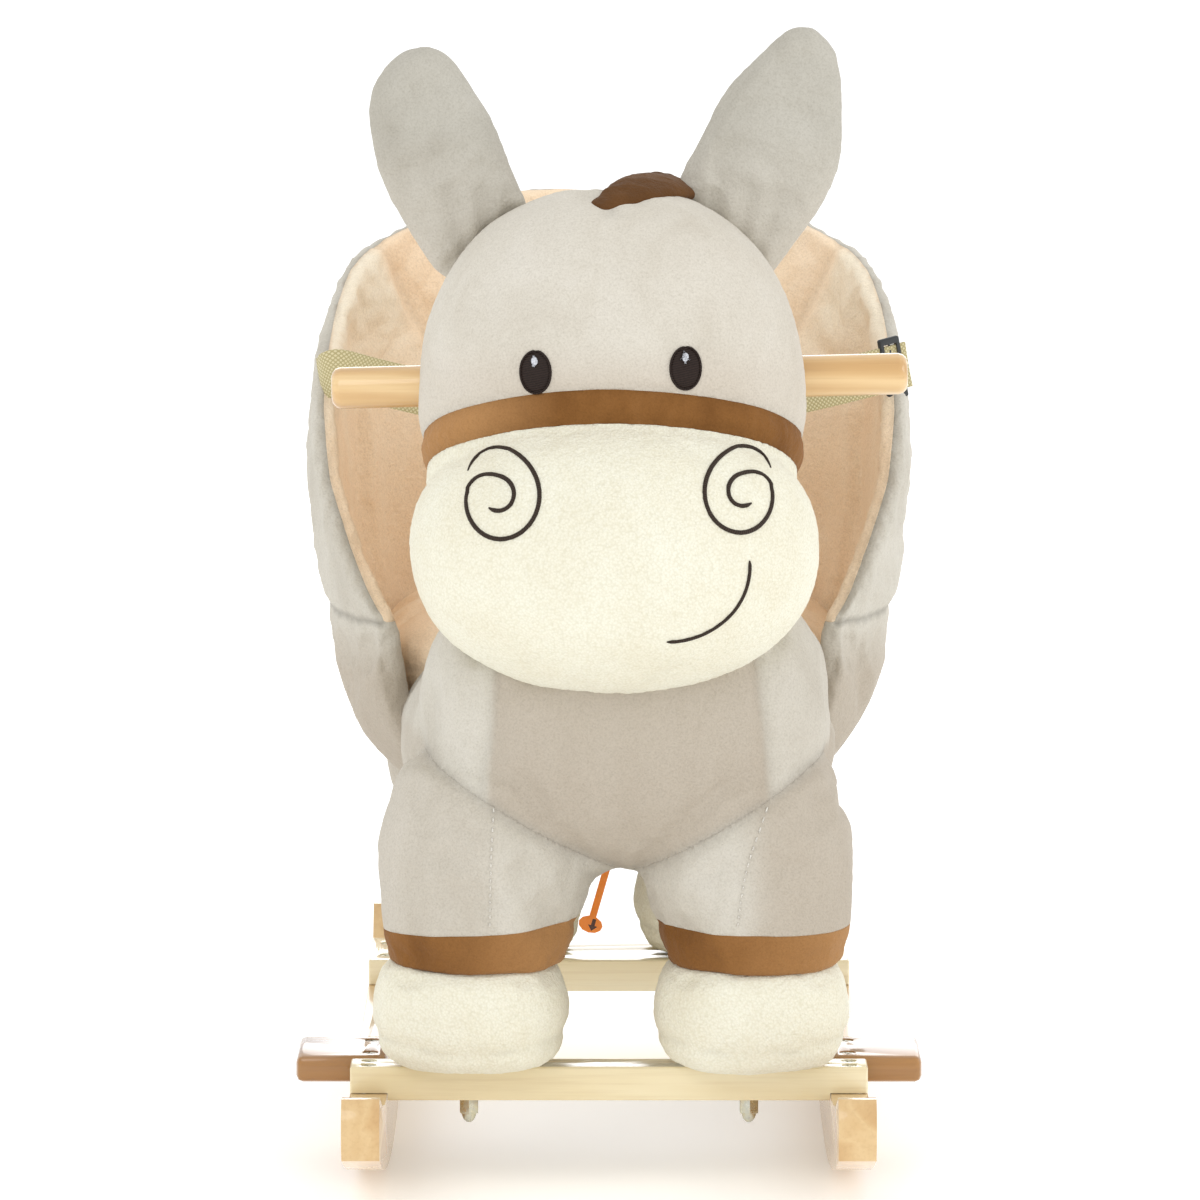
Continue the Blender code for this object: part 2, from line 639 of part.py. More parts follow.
def pull_tab(finish):
    """A thin insulating strip with an oval grip. It hangs out of the belly, a little aslant."""
    outline = [(0.0019, 0.0), (0.0019, -0.0586)]
    for step in range(11):
        turn = math.radians(70 - 320 * step / 10)
        outline.append((0.0066 * math.cos(turn), -0.0629 + 0.0046 * math.sin(turn)))
    outline += [(-0.0019, -0.0586), (-0.0019, 0.0)]
    top = Vector((0.0075, UNIT_Y[0] + 0.0034, 0.1900))
    tilt = Matrix.Rotation(TAB_TILT, 4, "Y")
    stand = Matrix(((1, 0, 0, 0), (0, 0, -1, 0), (0, 1, 0, 0), (0, 0, 0, 1)))
    return flat_outline("pull_tab", outline, 0.0006, Matrix.Translation(top) @ tilt @ stand, finish,
                        smooth=False, steps=1)


# ---------------------------------------------------------------- assembly

def leg_places():
    return {"front_left": (FRONT_LEG_X, FRONT_LEG_Y), "front_right": (-FRONT_LEG_X, FRONT_LEG_Y),
            "rear_left": (REAR_LEG_X, REAR_LEG_Y), "rear_right": (-REAR_LEG_X, REAR_LEG_Y)}


def main():
    clear_scene()
    pine = material("pine", (0.83, 0.66, 0.38), 0.55)
    honey = material("honey_wood", (0.72, 0.47, 0.20), 0.50)
    brown_wood = material("brown_wood", (0.35, 0.16, 0.05), 0.45)
    ply = material("plywood", (0.70, 0.55, 0.35), 0.70)
    zinc = material("zinc", (0.55, 0.55, 0.52), 0.35, 1.0)
    gray = material("gray_plush", (0.62, 0.59, 0.53), 0.95)
    cream = material("cream_plush", (0.85, 0.82, 0.71), 0.95)
    brown = material("brown_plush", (0.25, 0.10, 0.03), 0.95)
    peach = material("peach_plush", (0.86, 0.64, 0.42), 0.95)
    web = material("khaki_webbing", (0.60, 0.54, 0.30), 0.85)
    black = material("black_plastic", (0.02, 0.02, 0.02), 0.40)
    orange = material("orange_film", (0.82, 0.20, 0.01), 0.45)
    for side, sign in (("left", 1), ("right", -1)):
        runner(side, sign, honey)
        pedal(side, sign, brown_wood)
    rail("front_rail", FRONT_RAIL_Y, pine)
    rail("rear_rail", REAR_RAIL_Y, pine)
    screws(zinc)
    for name, (x, y) in leg_places().items():
        leg_bolt(f"leg_bolt_{name}", x, y, zinc)
        leg_post(f"leg_post_{name}", x, y, pine)
        leg_parts(name, x, y, cream, gray)
    block("seat_board", *SEAT_BOARD, ply)
    back_board("back_board", ply)
    post = neck_post("neck_post", pine)
    boolean(post, as_cutter(handle("neck_post_bore", HANDLE_R + GAP, None)))
    handle("handle_bar", HANDLE_R, honey, dome=0.005)
    torso(gray)
    head_parts(gray, cream, brown)
    ears(gray)
    mane(brown)
    tail(gray)
    seat(gray, peach)
    belt(web, black)
    sound_unit(black, zinc)
    pull_tab(orange)


main()
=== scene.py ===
"""Plush donkey rocker with a tub seat: soft pieces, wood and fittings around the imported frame."""
import math

import bmesh
import bpy
import numpy as np
from mathutils import Matrix, Vector, noise
from mathutils.bvhtree import BVHTree


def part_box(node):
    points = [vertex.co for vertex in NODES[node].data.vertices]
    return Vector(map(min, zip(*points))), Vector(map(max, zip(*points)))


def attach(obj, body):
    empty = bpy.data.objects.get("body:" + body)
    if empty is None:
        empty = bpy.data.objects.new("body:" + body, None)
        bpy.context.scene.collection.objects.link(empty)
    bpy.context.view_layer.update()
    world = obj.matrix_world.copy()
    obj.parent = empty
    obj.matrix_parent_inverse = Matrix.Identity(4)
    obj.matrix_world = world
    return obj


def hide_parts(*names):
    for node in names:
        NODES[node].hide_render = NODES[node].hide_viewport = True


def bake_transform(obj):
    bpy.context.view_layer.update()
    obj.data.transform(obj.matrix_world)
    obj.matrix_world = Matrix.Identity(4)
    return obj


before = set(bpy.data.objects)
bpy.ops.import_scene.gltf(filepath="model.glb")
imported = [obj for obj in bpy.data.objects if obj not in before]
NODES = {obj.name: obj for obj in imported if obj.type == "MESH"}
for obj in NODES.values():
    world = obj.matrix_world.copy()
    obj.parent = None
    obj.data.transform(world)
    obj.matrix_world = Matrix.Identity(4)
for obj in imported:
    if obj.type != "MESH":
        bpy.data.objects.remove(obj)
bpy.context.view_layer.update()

# The stuffed body sits a little to the rider's left of the base.
LEAN = 0.0095
SIDES = (("left", 1), ("right", -1))
TOUCH = 0.0001                    # closer than this, two points are the same

# The camera, before the front rail and above the floor, in metres and degrees
CAMERA_LENS = 231.6
CAMERA_AWAY = 4.0
CAMERA_HIGH = 0.845
CAMERA_DOWN = 7.572
CAMERA_TURN = 0.0674


# ---------------------------------------------------------------- camera, light and floor

def camera():
    """A long lens, four metres in front of the front rail and a little above the object."""
    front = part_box("front_rail")[0][1]
    data = bpy.data.cameras.new("camera")
    data.sensor_width = 36.0
    data.lens = CAMERA_LENS
    obj = bpy.data.objects.new("camera", data)
    bpy.context.scene.collection.objects.link(obj)
    obj.location = (0.0, front - CAMERA_AWAY, CAMERA_HIGH)
    obj.rotation_euler = (math.radians(90 - CAMERA_DOWN), 0.0, math.radians(CAMERA_TURN))
    bpy.context.scene.camera = obj


def area_light(name, place, aim, size, power):
    """A soft white disc of light that lights the object and isn't seen itself."""
    data = bpy.data.lights.new(name, "AREA")
    data.shape = "DISK"
    data.size = size
    data.energy = power
    obj = bpy.data.objects.new(name, data)
    bpy.context.scene.collection.objects.link(obj)
    obj.location = place
    obj.rotation_euler = (Vector(aim) - Vector(place)).to_track_quat("-Z", "Y").to_euler()
    obj.visible_camera = False


def floor_material():
    """A pale floor that glows a little, so that shadows on it stay faint."""
    made = plain_material("floor", (0.97, 0.97, 0.965), 0.9)
    shader = made.node_tree.nodes["Principled BSDF"]
    shader.inputs["Emission Color"].default_value = (1.0, 1.0, 1.0, 1.0)
    shader.inputs["Emission Strength"].default_value = 0.22
    return made


def studio():
    """White surroundings, a soft key from the upper left, a weaker side light, and a low panel behind."""
    world = bpy.data.worlds.new("studio")
    world.use_nodes = True
    world.node_tree.nodes["Background"].inputs["Color"].default_value = (1.0, 1.0, 1.0, 1.0)
    world.node_tree.nodes["Background"].inputs["Strength"].default_value = 1.0
    bpy.context.scene.world = world
    area_light("key", (-1.3, -2.4, 2.1), (0, 0, 0.3), 1.6, 13)
    area_light("side", (2.2, -0.7, 1.3), (0, 0, 0.35), 1.2, 9)
    area_light("behind", (0.2, 3.0, 0.95), (0, 0, 0.1), 2.0, 17)
    bpy.context.scene.view_settings.view_transform = "Standard"
    deselect()
    bpy.ops.mesh.primitive_plane_add(size=60.0, location=(0, 0, 0))
    floor = bpy.context.object
    floor.name = "floor"
    floor.data.materials.append(floor_material())
    bpy.ops.object.transform_apply(location=True, rotation=True, scale=True)


# ---------------------------------------------------------------- materials

def plain_material(name, colour, roughness, metallic=0.0):
    made = bpy.data.materials.new(name)
    made.use_nodes = True
    shader = made.node_tree.nodes["Principled BSDF"]
    shader.inputs["Base Color"].default_value = (*colour, 1.0)
    shader.inputs["Roughness"].default_value = roughness
    shader.inputs["Metallic"].default_value = metallic
    return made


class Graph:
    """A short way to wire a material's nodes."""

    def __init__(self, name, colour, roughness, metallic=0.0):
        self.material = plain_material(name, colour, roughness, metallic)
        self.tree = self.material.node_tree
        self.shader = self.tree.nodes["Principled BSDF"]

    def node(self, kind, **values):
        made = self.tree.nodes.new(kind)
        for key, value in values.items():
            if key in made.inputs:
                made.inputs[key].default_value = value
            else:
                setattr(made, key, value)
        return made

    def link(self, source, target):
        self.tree.links.new(source, target)

    def place(self, stretch=(1, 1, 1), turn=(0, 0, 0), uv=False):
        """Object coordinates in metres, or the piece's UV map, scaled and turned."""
        coords = self.node("ShaderNodeTexCoord")
        mapping = self.node("ShaderNodeMapping")
        mapping.inputs["Scale"].default_value = stretch
        mapping.inputs["Rotation"].default_value = turn
        self.link(coords.outputs["UV" if uv else "Object"], mapping.inputs["Vector"])
        return mapping.outputs["Vector"]

    def noise(self, where, scale, detail=2.0, rough=0.5, distortion=0.0):
        made = self.node("ShaderNodeTexNoise", Scale=scale, Detail=detail, Roughness=rough,
                         Distortion=distortion)
        self.link(where, made.inputs["Vector"])
        return made.outputs["Fac"]

    def cells(self, where, scale, feature="F1", randomness=1.0):
        made = self.node("ShaderNodeTexVoronoi", Scale=scale, Randomness=randomness)
        made.feature = feature
        self.link(where, made.inputs["Vector"])
        return made.outputs["Distance"]

    def wave(self, where, scale, direction="X", distortion=0.0, detail=0.0):
        made = self.node("ShaderNodeTexWave", Scale=scale, Distortion=distortion, Detail=detail)
        made.bands_direction = direction
        self.link(where, made.inputs["Vector"])
        return made.outputs["Fac"]

    def ramp(self, value, stops):
        made = self.node("ShaderNodeValToRGB")
        ramp = made.color_ramp
        while len(ramp.elements) < len(stops):
            ramp.elements.new(0.5)
        for element, (place, colour) in zip(ramp.elements, stops):
            element.position = place
            element.color = (*colour, 1.0)
        self.link(value, made.inputs["Fac"])
        return made.outputs["Color"]

    def mix(self, share, first, second, kind="MIX"):
        """Mixes two colours. Each is a socket or a colour, and share is a socket or a number."""
        made = self.node("ShaderNodeMix", data_type="RGBA", blend_type=kind)
        for value, socket in ((share, made.inputs[0]), (first, made.inputs[6]), (second, made.inputs[7])):
            if isinstance(value, bpy.types.NodeSocket):
                self.link(value, socket)
            elif isinstance(value, tuple):
                socket.default_value = (*value, 1.0)
            else:
                socket.default_value = value
        return made.outputs[2]

    def maths(self, kind, first, second):
        made = self.node("ShaderNodeMath", operation=kind)
        for value, socket in ((first, made.inputs[0]), (second, made.inputs[1])):
            if isinstance(value, bpy.types.NodeSocket):
                self.link(value, socket)
            else:
                socket.default_value = value
        return made.outputs["Value"]

    def attribute(self, name):
        """A value marked on the mesh, one number per point."""
        return self.node("ShaderNodeAttribute", attribute_name=name).outputs["Fac"]

    def bump(self, height, distance, strength=1.0, under=None):
        made = self.node("ShaderNodeBump", Distance=distance, Strength=strength)
        self.link(height, made.inputs["Height"])
        if under:
            self.link(under, made.inputs["Normal"])
        return made.outputs["Normal"]

    def finish(self, colour=None, normal=None, roughness=None):
        for value, socket in ((colour, "Base Color"), (normal, "Normal"), (roughness, "Roughness")):
            if value is not None:
                self.link(value, self.shader.inputs[socket])
        return self.material


def plush(name, light, dark, nap, shade, sheen=0.12):
    """Short dense pile: fine fibre grain, and broad patches where the nap lies another way.
    The mesh's tone moves the colour towards the shade colour, partly for panel nap and partly as painted
    shade and painted light on the body and seat; its crease mark is painted shade, darker along seams and
    folds."""
    g = Graph(name, light, 0.92)
    g.shader.inputs["Sheen Weight"].default_value = sheen
    g.shader.inputs["Sheen Roughness"].default_value = 0.4
    g.shader.inputs["Sheen Tint"].default_value = (1.0, 0.98, 0.94, 1.0)
    g.shader.inputs["Specular IOR Level"].default_value = 0.12
    where = g.place()
    brushed = g.noise(g.place((1.0, 1.0, 0.55)), 22.0, 4.0, 0.58, 0.5)
    fibre = g.noise(where, 900.0, 3.0, 0.7)
    tufts = g.noise(where, 330.0, 2.0, 0.6)
    base = g.ramp(brushed, [(0.30, dark), (0.52, light), (0.78, nap)])
    base = g.mix(g.attribute("tone"), base, shade)
    grain = g.ramp(fibre, [(0.30, (0.82, 0.81, 0.79)), (0.55, (1.0, 1.0, 1.0)), (0.80, (1.06, 1.06, 1.06))])
    colour = g.mix(0.75, base, grain, "MULTIPLY")
    # Painted shade: along seams and folds the crease mark pulls the colour towards a deep shade of the plush.
    seam_shadow = tuple(c * 0.42 for c in dark)
    colour = g.mix(g.maths("MULTIPLY", g.attribute("crease"), 0.75), colour, seam_shadow)
    soft = g.bump(tufts, 0.0014, 0.5)
    normal = g.bump(fibre, 0.0006, 0.55, soft)
    return g.finish(colour, normal)


def terry(name, light, dark):
    """Looped cream pile: fine round loops with a little shadow between them."""
    g = Graph(name, light, 0.95)
    g.shader.inputs["Sheen Weight"].default_value = 0.12
    g.shader.inputs["Sheen Roughness"].default_value = 0.5
    g.shader.inputs["Specular IOR Level"].default_value = 0.10
    where = g.place()
    loops = g.cells(where, 720.0)
    tufts = g.noise(where, 330.0, 3.0, 0.65)
    patches = g.noise(where, 30.0, 4.0, 0.6)
    fuzz = g.noise(where, 1300.0, 2.0, 0.6)
    between = g.ramp(loops, [(0.25, light), (0.85, dark)])
    tone = g.ramp(patches, [(0.30, (0.955, 0.935, 0.900)), (0.65, (1.0, 1.0, 1.0))])
    colour = g.mix(1.0, between, tone, "MULTIPLY")
    # Painted shade: along seams the crease mark pulls the cream towards a darker cream.
    seam_shadow = tuple(c * 0.6 for c in dark)
    colour = g.mix(g.maths("MULTIPLY", g.attribute("crease"), 0.7), colour, seam_shadow)
    heights = g.maths("ADD", g.maths("MULTIPLY", loops, -0.5), g.maths("MULTIPLY", tufts, 1.2))
    normal = g.bump(fuzz, 0.0003, 0.4, g.bump(heights, 0.0013, 0.6))
    return g.finish(colour, normal)


def wood(name, along, pale, mid, dark, roughness, ring=1.0):
    """Lacquered board: growth rings, seen as lines along the grain and arcs on the ends, and fine pores."""
    g = Graph(name, mid, roughness)
    g.shader.inputs["Coat Weight"].default_value = 0.9
    g.shader.inputs["Coat Roughness"].default_value = 0.10
    g.shader.inputs["Coat IOR"].default_value = 1.5
    squeeze = [34.0, 34.0, 34.0]
    squeeze["XYZ".index(along)] = 2.2
    fine = [420.0, 420.0, 420.0]
    fine["XYZ".index(along)] = 14.0
    drawn = [1.0, 1.0, 1.0]
    drawn["XYZ".index(along)] = 0.06
    bands = g.noise(g.place(tuple(squeeze)), 1.0 * ring, 3.0, 0.45, 1.2)
    rings = g.node("ShaderNodeTexWave", wave_type="RINGS", Scale=7.0 * ring, Distortion=5.0, Detail=2.0)
    rings.rings_direction = along
    rings.inputs["Detail Scale"].default_value = 2.0
    middle = g.node("ShaderNodeVectorMath", operation="ADD")
    middle.inputs[1].default_value = (0.021, 0.017, -0.031)
    g.link(g.place(tuple(drawn)), middle.inputs[0])
    g.link(middle.outputs["Vector"], rings.inputs["Vector"])
    fibres = g.noise(g.place(tuple(fine)), 1.0, 3.0, 0.6)
    broad = g.noise(g.place(), 9.0, 2.0, 0.5)
    grain = g.maths("ADD", g.maths("MULTIPLY", bands, 0.72), g.maths("MULTIPLY", rings.outputs["Fac"], 0.24))
    base = g.ramp(grain, [(0.30, dark), (0.45, mid), (0.56, pale), (0.72, mid)])
    lines = g.ramp(fibres, [(0.32, (0.84, 0.78, 0.70)), (0.52, (1.0, 1.0, 1.0))])
    colour = g.mix(0.40, base, lines, "MULTIPLY")
    clouds = g.ramp(broad, [(0.35, (0.90, 0.86, 0.80)), (0.65, (1.0, 1.0, 1.0))])
    colour = g.mix(0.35, colour, clouds, "MULTIPLY")
    normal = g.bump(fibres, 0.00012, 0.3, g.bump(bands, 0.0004, 0.12))
    return g.finish(colour, normal)


def webbing(name, light, dark):
    """Woven strap: a close basket of yarns, read from the strap's UV map in metres."""
    g = Graph(name, light, 0.8)
    g.shader.inputs["Sheen Weight"].default_value = 0.1
    one = g.wave(g.place((1, 1, 1), (0, 0, math.radians(45)), uv=True), 185.0, "X")
    other = g.wave(g.place((1, 1, 1), (0, 0, math.radians(-45)), uv=True), 185.0, "X")
    yarns = g.maths("MULTIPLY", one, other)
    fuzz = g.noise(g.place((1, 1, 1), uv=True), 900.0, 2.0)
    colour = g.ramp(yarns, [(0.05, dark), (0.45, light)])
    colour = g.mix(0.4, colour, g.ramp(fuzz, [(0.3, (0.85, 0.84, 0.8)), (0.6, (1.0, 1.0, 1.0))]), "MULTIPLY")
    normal = g.bump(fuzz, 0.0001, 0.3, g.bump(yarns, 0.0004, 0.7))
    return g.finish(colour, normal)


def thread(name, light, dark):
    """Satin stitch: parallel threads across the line, read from the piece's UV."""
    g = Graph(name, light, 0.55)
    g.shader.inputs["Specular IOR Level"].default_value = 0.2
    strands = g.wave(g.place((1, 1, 1), (0, 0, math.radians(12)), uv=True), 260.0, "X", 1.0, 1.0)
    fleck = g.noise(g.place(), 700.0, 3.0, 0.6)
    colour = g.mix(g.maths("MULTIPLY", strands, 0.6), dark, light)
    flecks = g.ramp(fleck, [(0.35, (0.62, 0.60, 0.58)), (0.62, (1.0, 1.0, 1.0))])
    colour = g.mix(0.55, colour, flecks, "MULTIPLY")
    normal = g.bump(fleck, 0.0003, 0.5, g.bump(strands, 0.0003, 0.7))
    return g.finish(colour, normal)


def metal(name, colour, tint, roughness):
    """Zinc plate: a faint cloudy passivation over turned metal."""
    g = Graph(name, colour, roughness, 1.0)
    where = g.place()
    cloud = g.noise(where, 190.0, 4.0, 0.6)
    mottled = g.ramp(cloud, [(0.35, colour), (0.65, tint)])
    wear = g.noise(where, 420.0, 3.0)
    rough = g.ramp(wear, [(0.3, (roughness - 0.08,) * 3), (0.7, (roughness + 0.12,) * 3)])
    normal = g.bump(g.noise(where, 1500.0, 2.0), 0.00005, 0.4)
    return g.finish(mottled, normal, rough)


def moulded(name, colour, worn):
    """Fine spark-eroded plastic with slightly polished patches."""
    g = Graph(name, colour, 0.5)
    where = g.place()
    grain = g.noise(where, 1800.0, 2.0, 0.6)
    patch = g.noise(where, 60.0, 3.0, 0.5)
    tone = g.ramp(patch, [(0.35, colour), (0.7, worn)])
    rough = g.ramp(patch, [(0.3, (0.42,) * 3), (0.7, (0.60,) * 3)])
    return g.finish(tone, g.bump(grain, 0.00008, 0.5), rough)


def film(name, colour, pale, painted_glow=0.0):
    """Thin printed plastic strip with soft creases."""
    g = Graph(name, colour, 0.38)
    # Painted light: the strip glows a little in its own colour, lifting it out of the shade under the belly.
    g.shader.inputs["Emission Color"].default_value = (*colour, 1.0)
    g.shader.inputs["Emission Strength"].default_value = painted_glow
    crease = g.noise(g.place(), 240.0, 2.0, 0.5, 0.8)
    tone = g.ramp(crease, [(0.30, colour), (0.75, pale)])
    return g.finish(tone, g.bump(crease, 0.0006, 0.3))


def finishes():
    """Every finish of the rocker, by a short name."""
    return {
        "gray": plush("gray_plush", (0.600, 0.570, 0.500), (0.535, 0.500, 0.430), (0.650, 0.620, 0.555),
                      (0.430, 0.362, 0.285)),
        "head": plush("head_plush", (0.650, 0.612, 0.535), (0.595, 0.552, 0.472), (0.690, 0.655, 0.585),
                      (0.575, 0.510, 0.430)),
        "ear": plush("ear_plush", (0.480, 0.458, 0.400), (0.420, 0.396, 0.340), (0.530, 0.508, 0.450),
                     (0.580, 0.540, 0.470)),
        "brown": plush("brown_plush", (0.228, 0.100, 0.028), (0.170, 0.071, 0.019), (0.290, 0.136, 0.045),
                       (0.440, 0.235, 0.095), 0.08),
        "mane": plush("mane_plush", (0.125, 0.056, 0.019), (0.082, 0.036, 0.013), (0.180, 0.084, 0.030),
                      (0.270, 0.130, 0.045), 0.08),
        "peach": plush("peach_plush", (0.930, 0.745, 0.540), (0.900, 0.690, 0.480), (0.940, 0.790, 0.610),
                       (0.890, 0.800, 0.640), 0.1),
        "cream": terry("cream_terry", (0.840, 0.822, 0.700), (0.755, 0.728, 0.590)),
        "pine": wood("pine", "X", (0.915, 0.845, 0.620), (0.885, 0.795, 0.550), (0.800, 0.685, 0.425), 0.48),
        "honey_y": wood("honey_runner", "Y", (0.700, 0.490, 0.235), (0.640, 0.415, 0.180),
                        (0.550, 0.325, 0.125), 0.42),
        "honey_x": wood("honey_bar", "X", (0.800, 0.570, 0.285), (0.715, 0.470, 0.208),
                        (0.590, 0.345, 0.125), 0.40, 1.5),
        "pedal": wood("brown_pedal", "X", (0.385, 0.180, 0.036), (0.305, 0.135, 0.024),
                      (0.240, 0.108, 0.024), 0.42),
        "ply": wood("birch_ply", "Y", (0.740, 0.600, 0.400), (0.700, 0.550, 0.350),
                    (0.620, 0.470, 0.280), 0.65),
        "post": wood("pine_post", "Z", (0.840, 0.690, 0.430), (0.800, 0.640, 0.370),
                     (0.700, 0.520, 0.270), 0.55),
        "web": webbing("khaki_webbing", (0.690, 0.620, 0.380), (0.430, 0.365, 0.180)),
        "thread": thread("brown_thread", (0.070, 0.046, 0.032), (0.024, 0.015, 0.010)),
        "pupil": thread("eye_thread", (0.040, 0.023, 0.017), (0.016, 0.009, 0.007)),
        "shine": thread("white_thread", (0.86, 0.88, 0.93), (0.60, 0.62, 0.68)),
        "stitch": thread("pale_thread", (0.90, 0.88, 0.83), (0.70, 0.67, 0.60)),
        "zinc": metal("zinc", (0.520, 0.530, 0.480), (0.620, 0.590, 0.440), 0.30),
        "nickel": metal("nickel", (0.600, 0.600, 0.610), (0.660, 0.650, 0.640), 0.25),
        "black": moulded("black_plastic", (0.018, 0.020, 0.022), (0.040, 0.043, 0.046)),
        # The orange strip's 0.18 glow is painted light that lifts it out of the shade under the belly.
        "orange": film("orange_film", (0.950, 0.250, 0.012), (0.960, 0.310, 0.050), 0.18),
        "ink": film("dark_ink", (0.090, 0.030, 0.012), (0.120, 0.045, 0.020)),
    }


# ---------------------------------------------------------------- mesh helpers

def deselect():
    bpy.ops.object.select_all(action="DESELECT")


def activate(obj):
    deselect()
    obj.select_set(True)
    bpy.context.view_layer.objects.active = obj


def apply_modifiers(obj):
    activate(obj)
    for modifier in list(obj.modifiers):
        bpy.ops.object.modifier_apply(modifier=modifier.name)


def from_bmesh(name, bm):
    mesh = bpy.data.meshes.new(name)
    bm.to_mesh(mesh)
    bm.free()
    obj = bpy.data.objects.new(name, mesh)
    bpy.context.scene.collection.objects.link(obj)
    return obj


def dress(obj, finish, body="root", nodes=(), angle=None):
    """Gives a finished piece its material, the body it rides on and the nodes it stands for."""
    obj.data.materials.clear()
    obj.data.materials.append(FINISH[finish])
    activate(obj)
    if angle:
        bpy.ops.object.shade_smooth_by_angle(angle=math.radians(angle))
    else:
        bpy.ops.object.shade_smooth()
    if body:
        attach(obj, body)
    if nodes:
        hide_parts(*nodes)
    return obj


def node_copy(node, name):
    """A copy of a CAD node's mesh, with its loose triangles joined up."""
    obj = bpy.data.objects.new(name, NODES[node].data.copy())
    bpy.context.scene.collection.objects.link(obj)
    obj.matrix_world = NODES[node].matrix_world
    activate(obj)
    bpy.ops.object.transform_apply(location=True, rotation=True, scale=True)
    bm = bmesh.new()
    bm.from_mesh(obj.data)
    bmesh.ops.remove_doubles(bm, verts=bm.verts, dist=0.00002)
    bm.to_mesh(obj.data)
    bm.free()
    return obj


def eased(node, name, width, segments=2):
    """A hard piece with its flat faces made whole and its edges rounded over."""
    obj = node_copy(node, name)
    bm = bmesh.new()
    bm.from_mesh(obj.data)
    bmesh.ops.dissolve_limit(bm, angle_limit=math.radians(1.0), verts=bm.verts, edges=bm.edges)
    bm.to_mesh(obj.data)
    bm.free()
    modifier = obj.modifiers.new("ease", "BEVEL")
    modifier.width = width
    modifier.segments = segments
    modifier.limit_method = "ANGLE"
    modifier.angle_limit = math.radians(40)
    modifier.use_clamp_overlap = True
    apply_modifiers(obj)
    return obj


def points_of(obj):
    points = np.empty(len(obj.data.vertices) * 3, np.float32)
    obj.data.vertices.foreach_get("co", points)
    return points.reshape(-1, 3).astype(float)


def set_points(obj, points):
    obj.data.vertices.foreach_set("co", points.astype(np.float32).ravel())
    obj.data.update()


def normals_of(obj):
    normals = np.empty(len(obj.data.vertices) * 3, np.float32)
    obj.data.vertex_normals.foreach_get("vector", normals)
    return normals.reshape(-1, 3).astype(float)


def ball(name, centre, radii, power=2.0, rings=28):
    """A stuffed form: a sphere drawn out to a rounded block. Power 2 is a plain ellipsoid."""
    deselect()
    bpy.ops.mesh.primitive_uv_sphere_add(segments=rings * 2, ring_count=rings, radius=1.0)
    obj = bpy.context.object
    obj.name = name
    unit = points_of(obj)
    length = (np.abs(unit) ** power).sum(axis=1) ** (1 / power)
    set_points(obj, np.array(centre) + unit / length[:, None] * np.array(radii))
    return obj


def lofted(name, rings, sides=40, power=2.0):
    """A closed form through level rings, each (z, x, y, half width, half depth)."""
    bm = bmesh.new()
    loops = []
    for z, x, y, wide, deep in rings:
        loop = []
        for index in range(sides):
            turn = 2 * math.pi * index / sides
            c, s = math.cos(turn), math.sin(turn)
            reach = (abs(c) ** power + abs(s) ** power) ** (-1 / power)
            loop.append(bm.verts.new((x + wide * c * reach, y + deep * s * reach, z)))
        loops.append(loop)
    for lower, upper in zip(loops, loops[1:]):
        for index in range(sides):
            after = (index + 1) % sides
            bm.faces.new((lower[index], lower[after], upper[after], upper[index]))
    bm.faces.new(loops[0][::-1])
    bm.faces.new(loops[-1])
    bmesh.ops.recalc_face_normals(bm, faces=bm.faces)
    return from_bmesh(name, bm)


def merged(name, forms, voxel, smoothing):
    """Several overlapping forms made one skin, then eased where they meet."""
    deselect()
    for form in forms:
        form.select_set(True)
    bpy.context.view_layer.objects.active = forms[0]
    if len(forms) > 1:
        bpy.ops.object.join()
    obj = bpy.context.object
    obj.name = name
    remesh = obj.modifiers.new("skin", "REMESH")
    remesh.mode = "VOXEL"
    remesh.voxel_size = voxel
    ease = obj.modifiers.new("ease", "SMOOTH")
    ease.factor = 0.6
    ease.iterations = smoothing
    apply_modifiers(obj)
    return obj


def blow_up(obj, pins, pressure, cap, slack=0.0):
    """Fills a cover with stuffing: cloth under pressure, its seams held, no point moving past cap."""
    before = points_of(obj)
    group = obj.vertex_groups.new(name="seams")
    for index in np.nonzero(pins > 0.02)[0]:
        group.add([int(index)], float(pins[index]), "REPLACE")
    cloth = obj.modifiers.new("stuffing", "CLOTH")
    settings = cloth.settings
    settings.quality = 4
    settings.mass = 0.3
    settings.tension_stiffness = settings.compression_stiffness = 12
    settings.shear_stiffness = 4
    settings.bending_stiffness = 0.4
    settings.use_pressure = True
    settings.uniform_pressure_force = pressure
    settings.effector_weights.gravity = 0.0
    settings.shrink_min = -slack
    if pins.max() > 0.02:
        settings.vertex_group_mass = "seams"
        settings.pin_stiffness = 4.0
    cloth.collision_settings.use_collision = False
    cloth.point_cache.frame_start, cloth.point_cache.frame_end = 1, 20
    for number in range(1, 21):
        bpy.context.scene.frame_set(number)
    apply_modifiers(obj)
    after = points_of(obj)
    bpy.context.scene.frame_set(1)
    move = after - before
    length = np.linalg.norm(move, axis=1, keepdims=True)
    move *= np.minimum(1.0, cap / np.maximum(length, 1e-9))
    set_points(obj, before + move)
    obj.vertex_groups.clear()


def push(obj, amount):
    """Moves each point along its normal by its own amount."""
    set_points(obj, points_of(obj) + normals_of(obj) * amount[:, None])


def mark(obj, name, values):
    """Writes one number per point, for the material to read."""
    layer = obj.data.attributes.get(name) or obj.data.attributes.new(name, "FLOAT", "POINT")
    layer.data.foreach_set("value", np.clip(values, 0, 1).astype(np.float32))


def rub(obj, height, size, seed=0.0):
    """Small unevenness of stuffing and pile."""
    shift = Vector((seed, seed * 0.7, -seed))
    values = [noise.noise(Vector(p) / size + shift) for p in points_of(obj)]
    push(obj, np.array(values) * height)


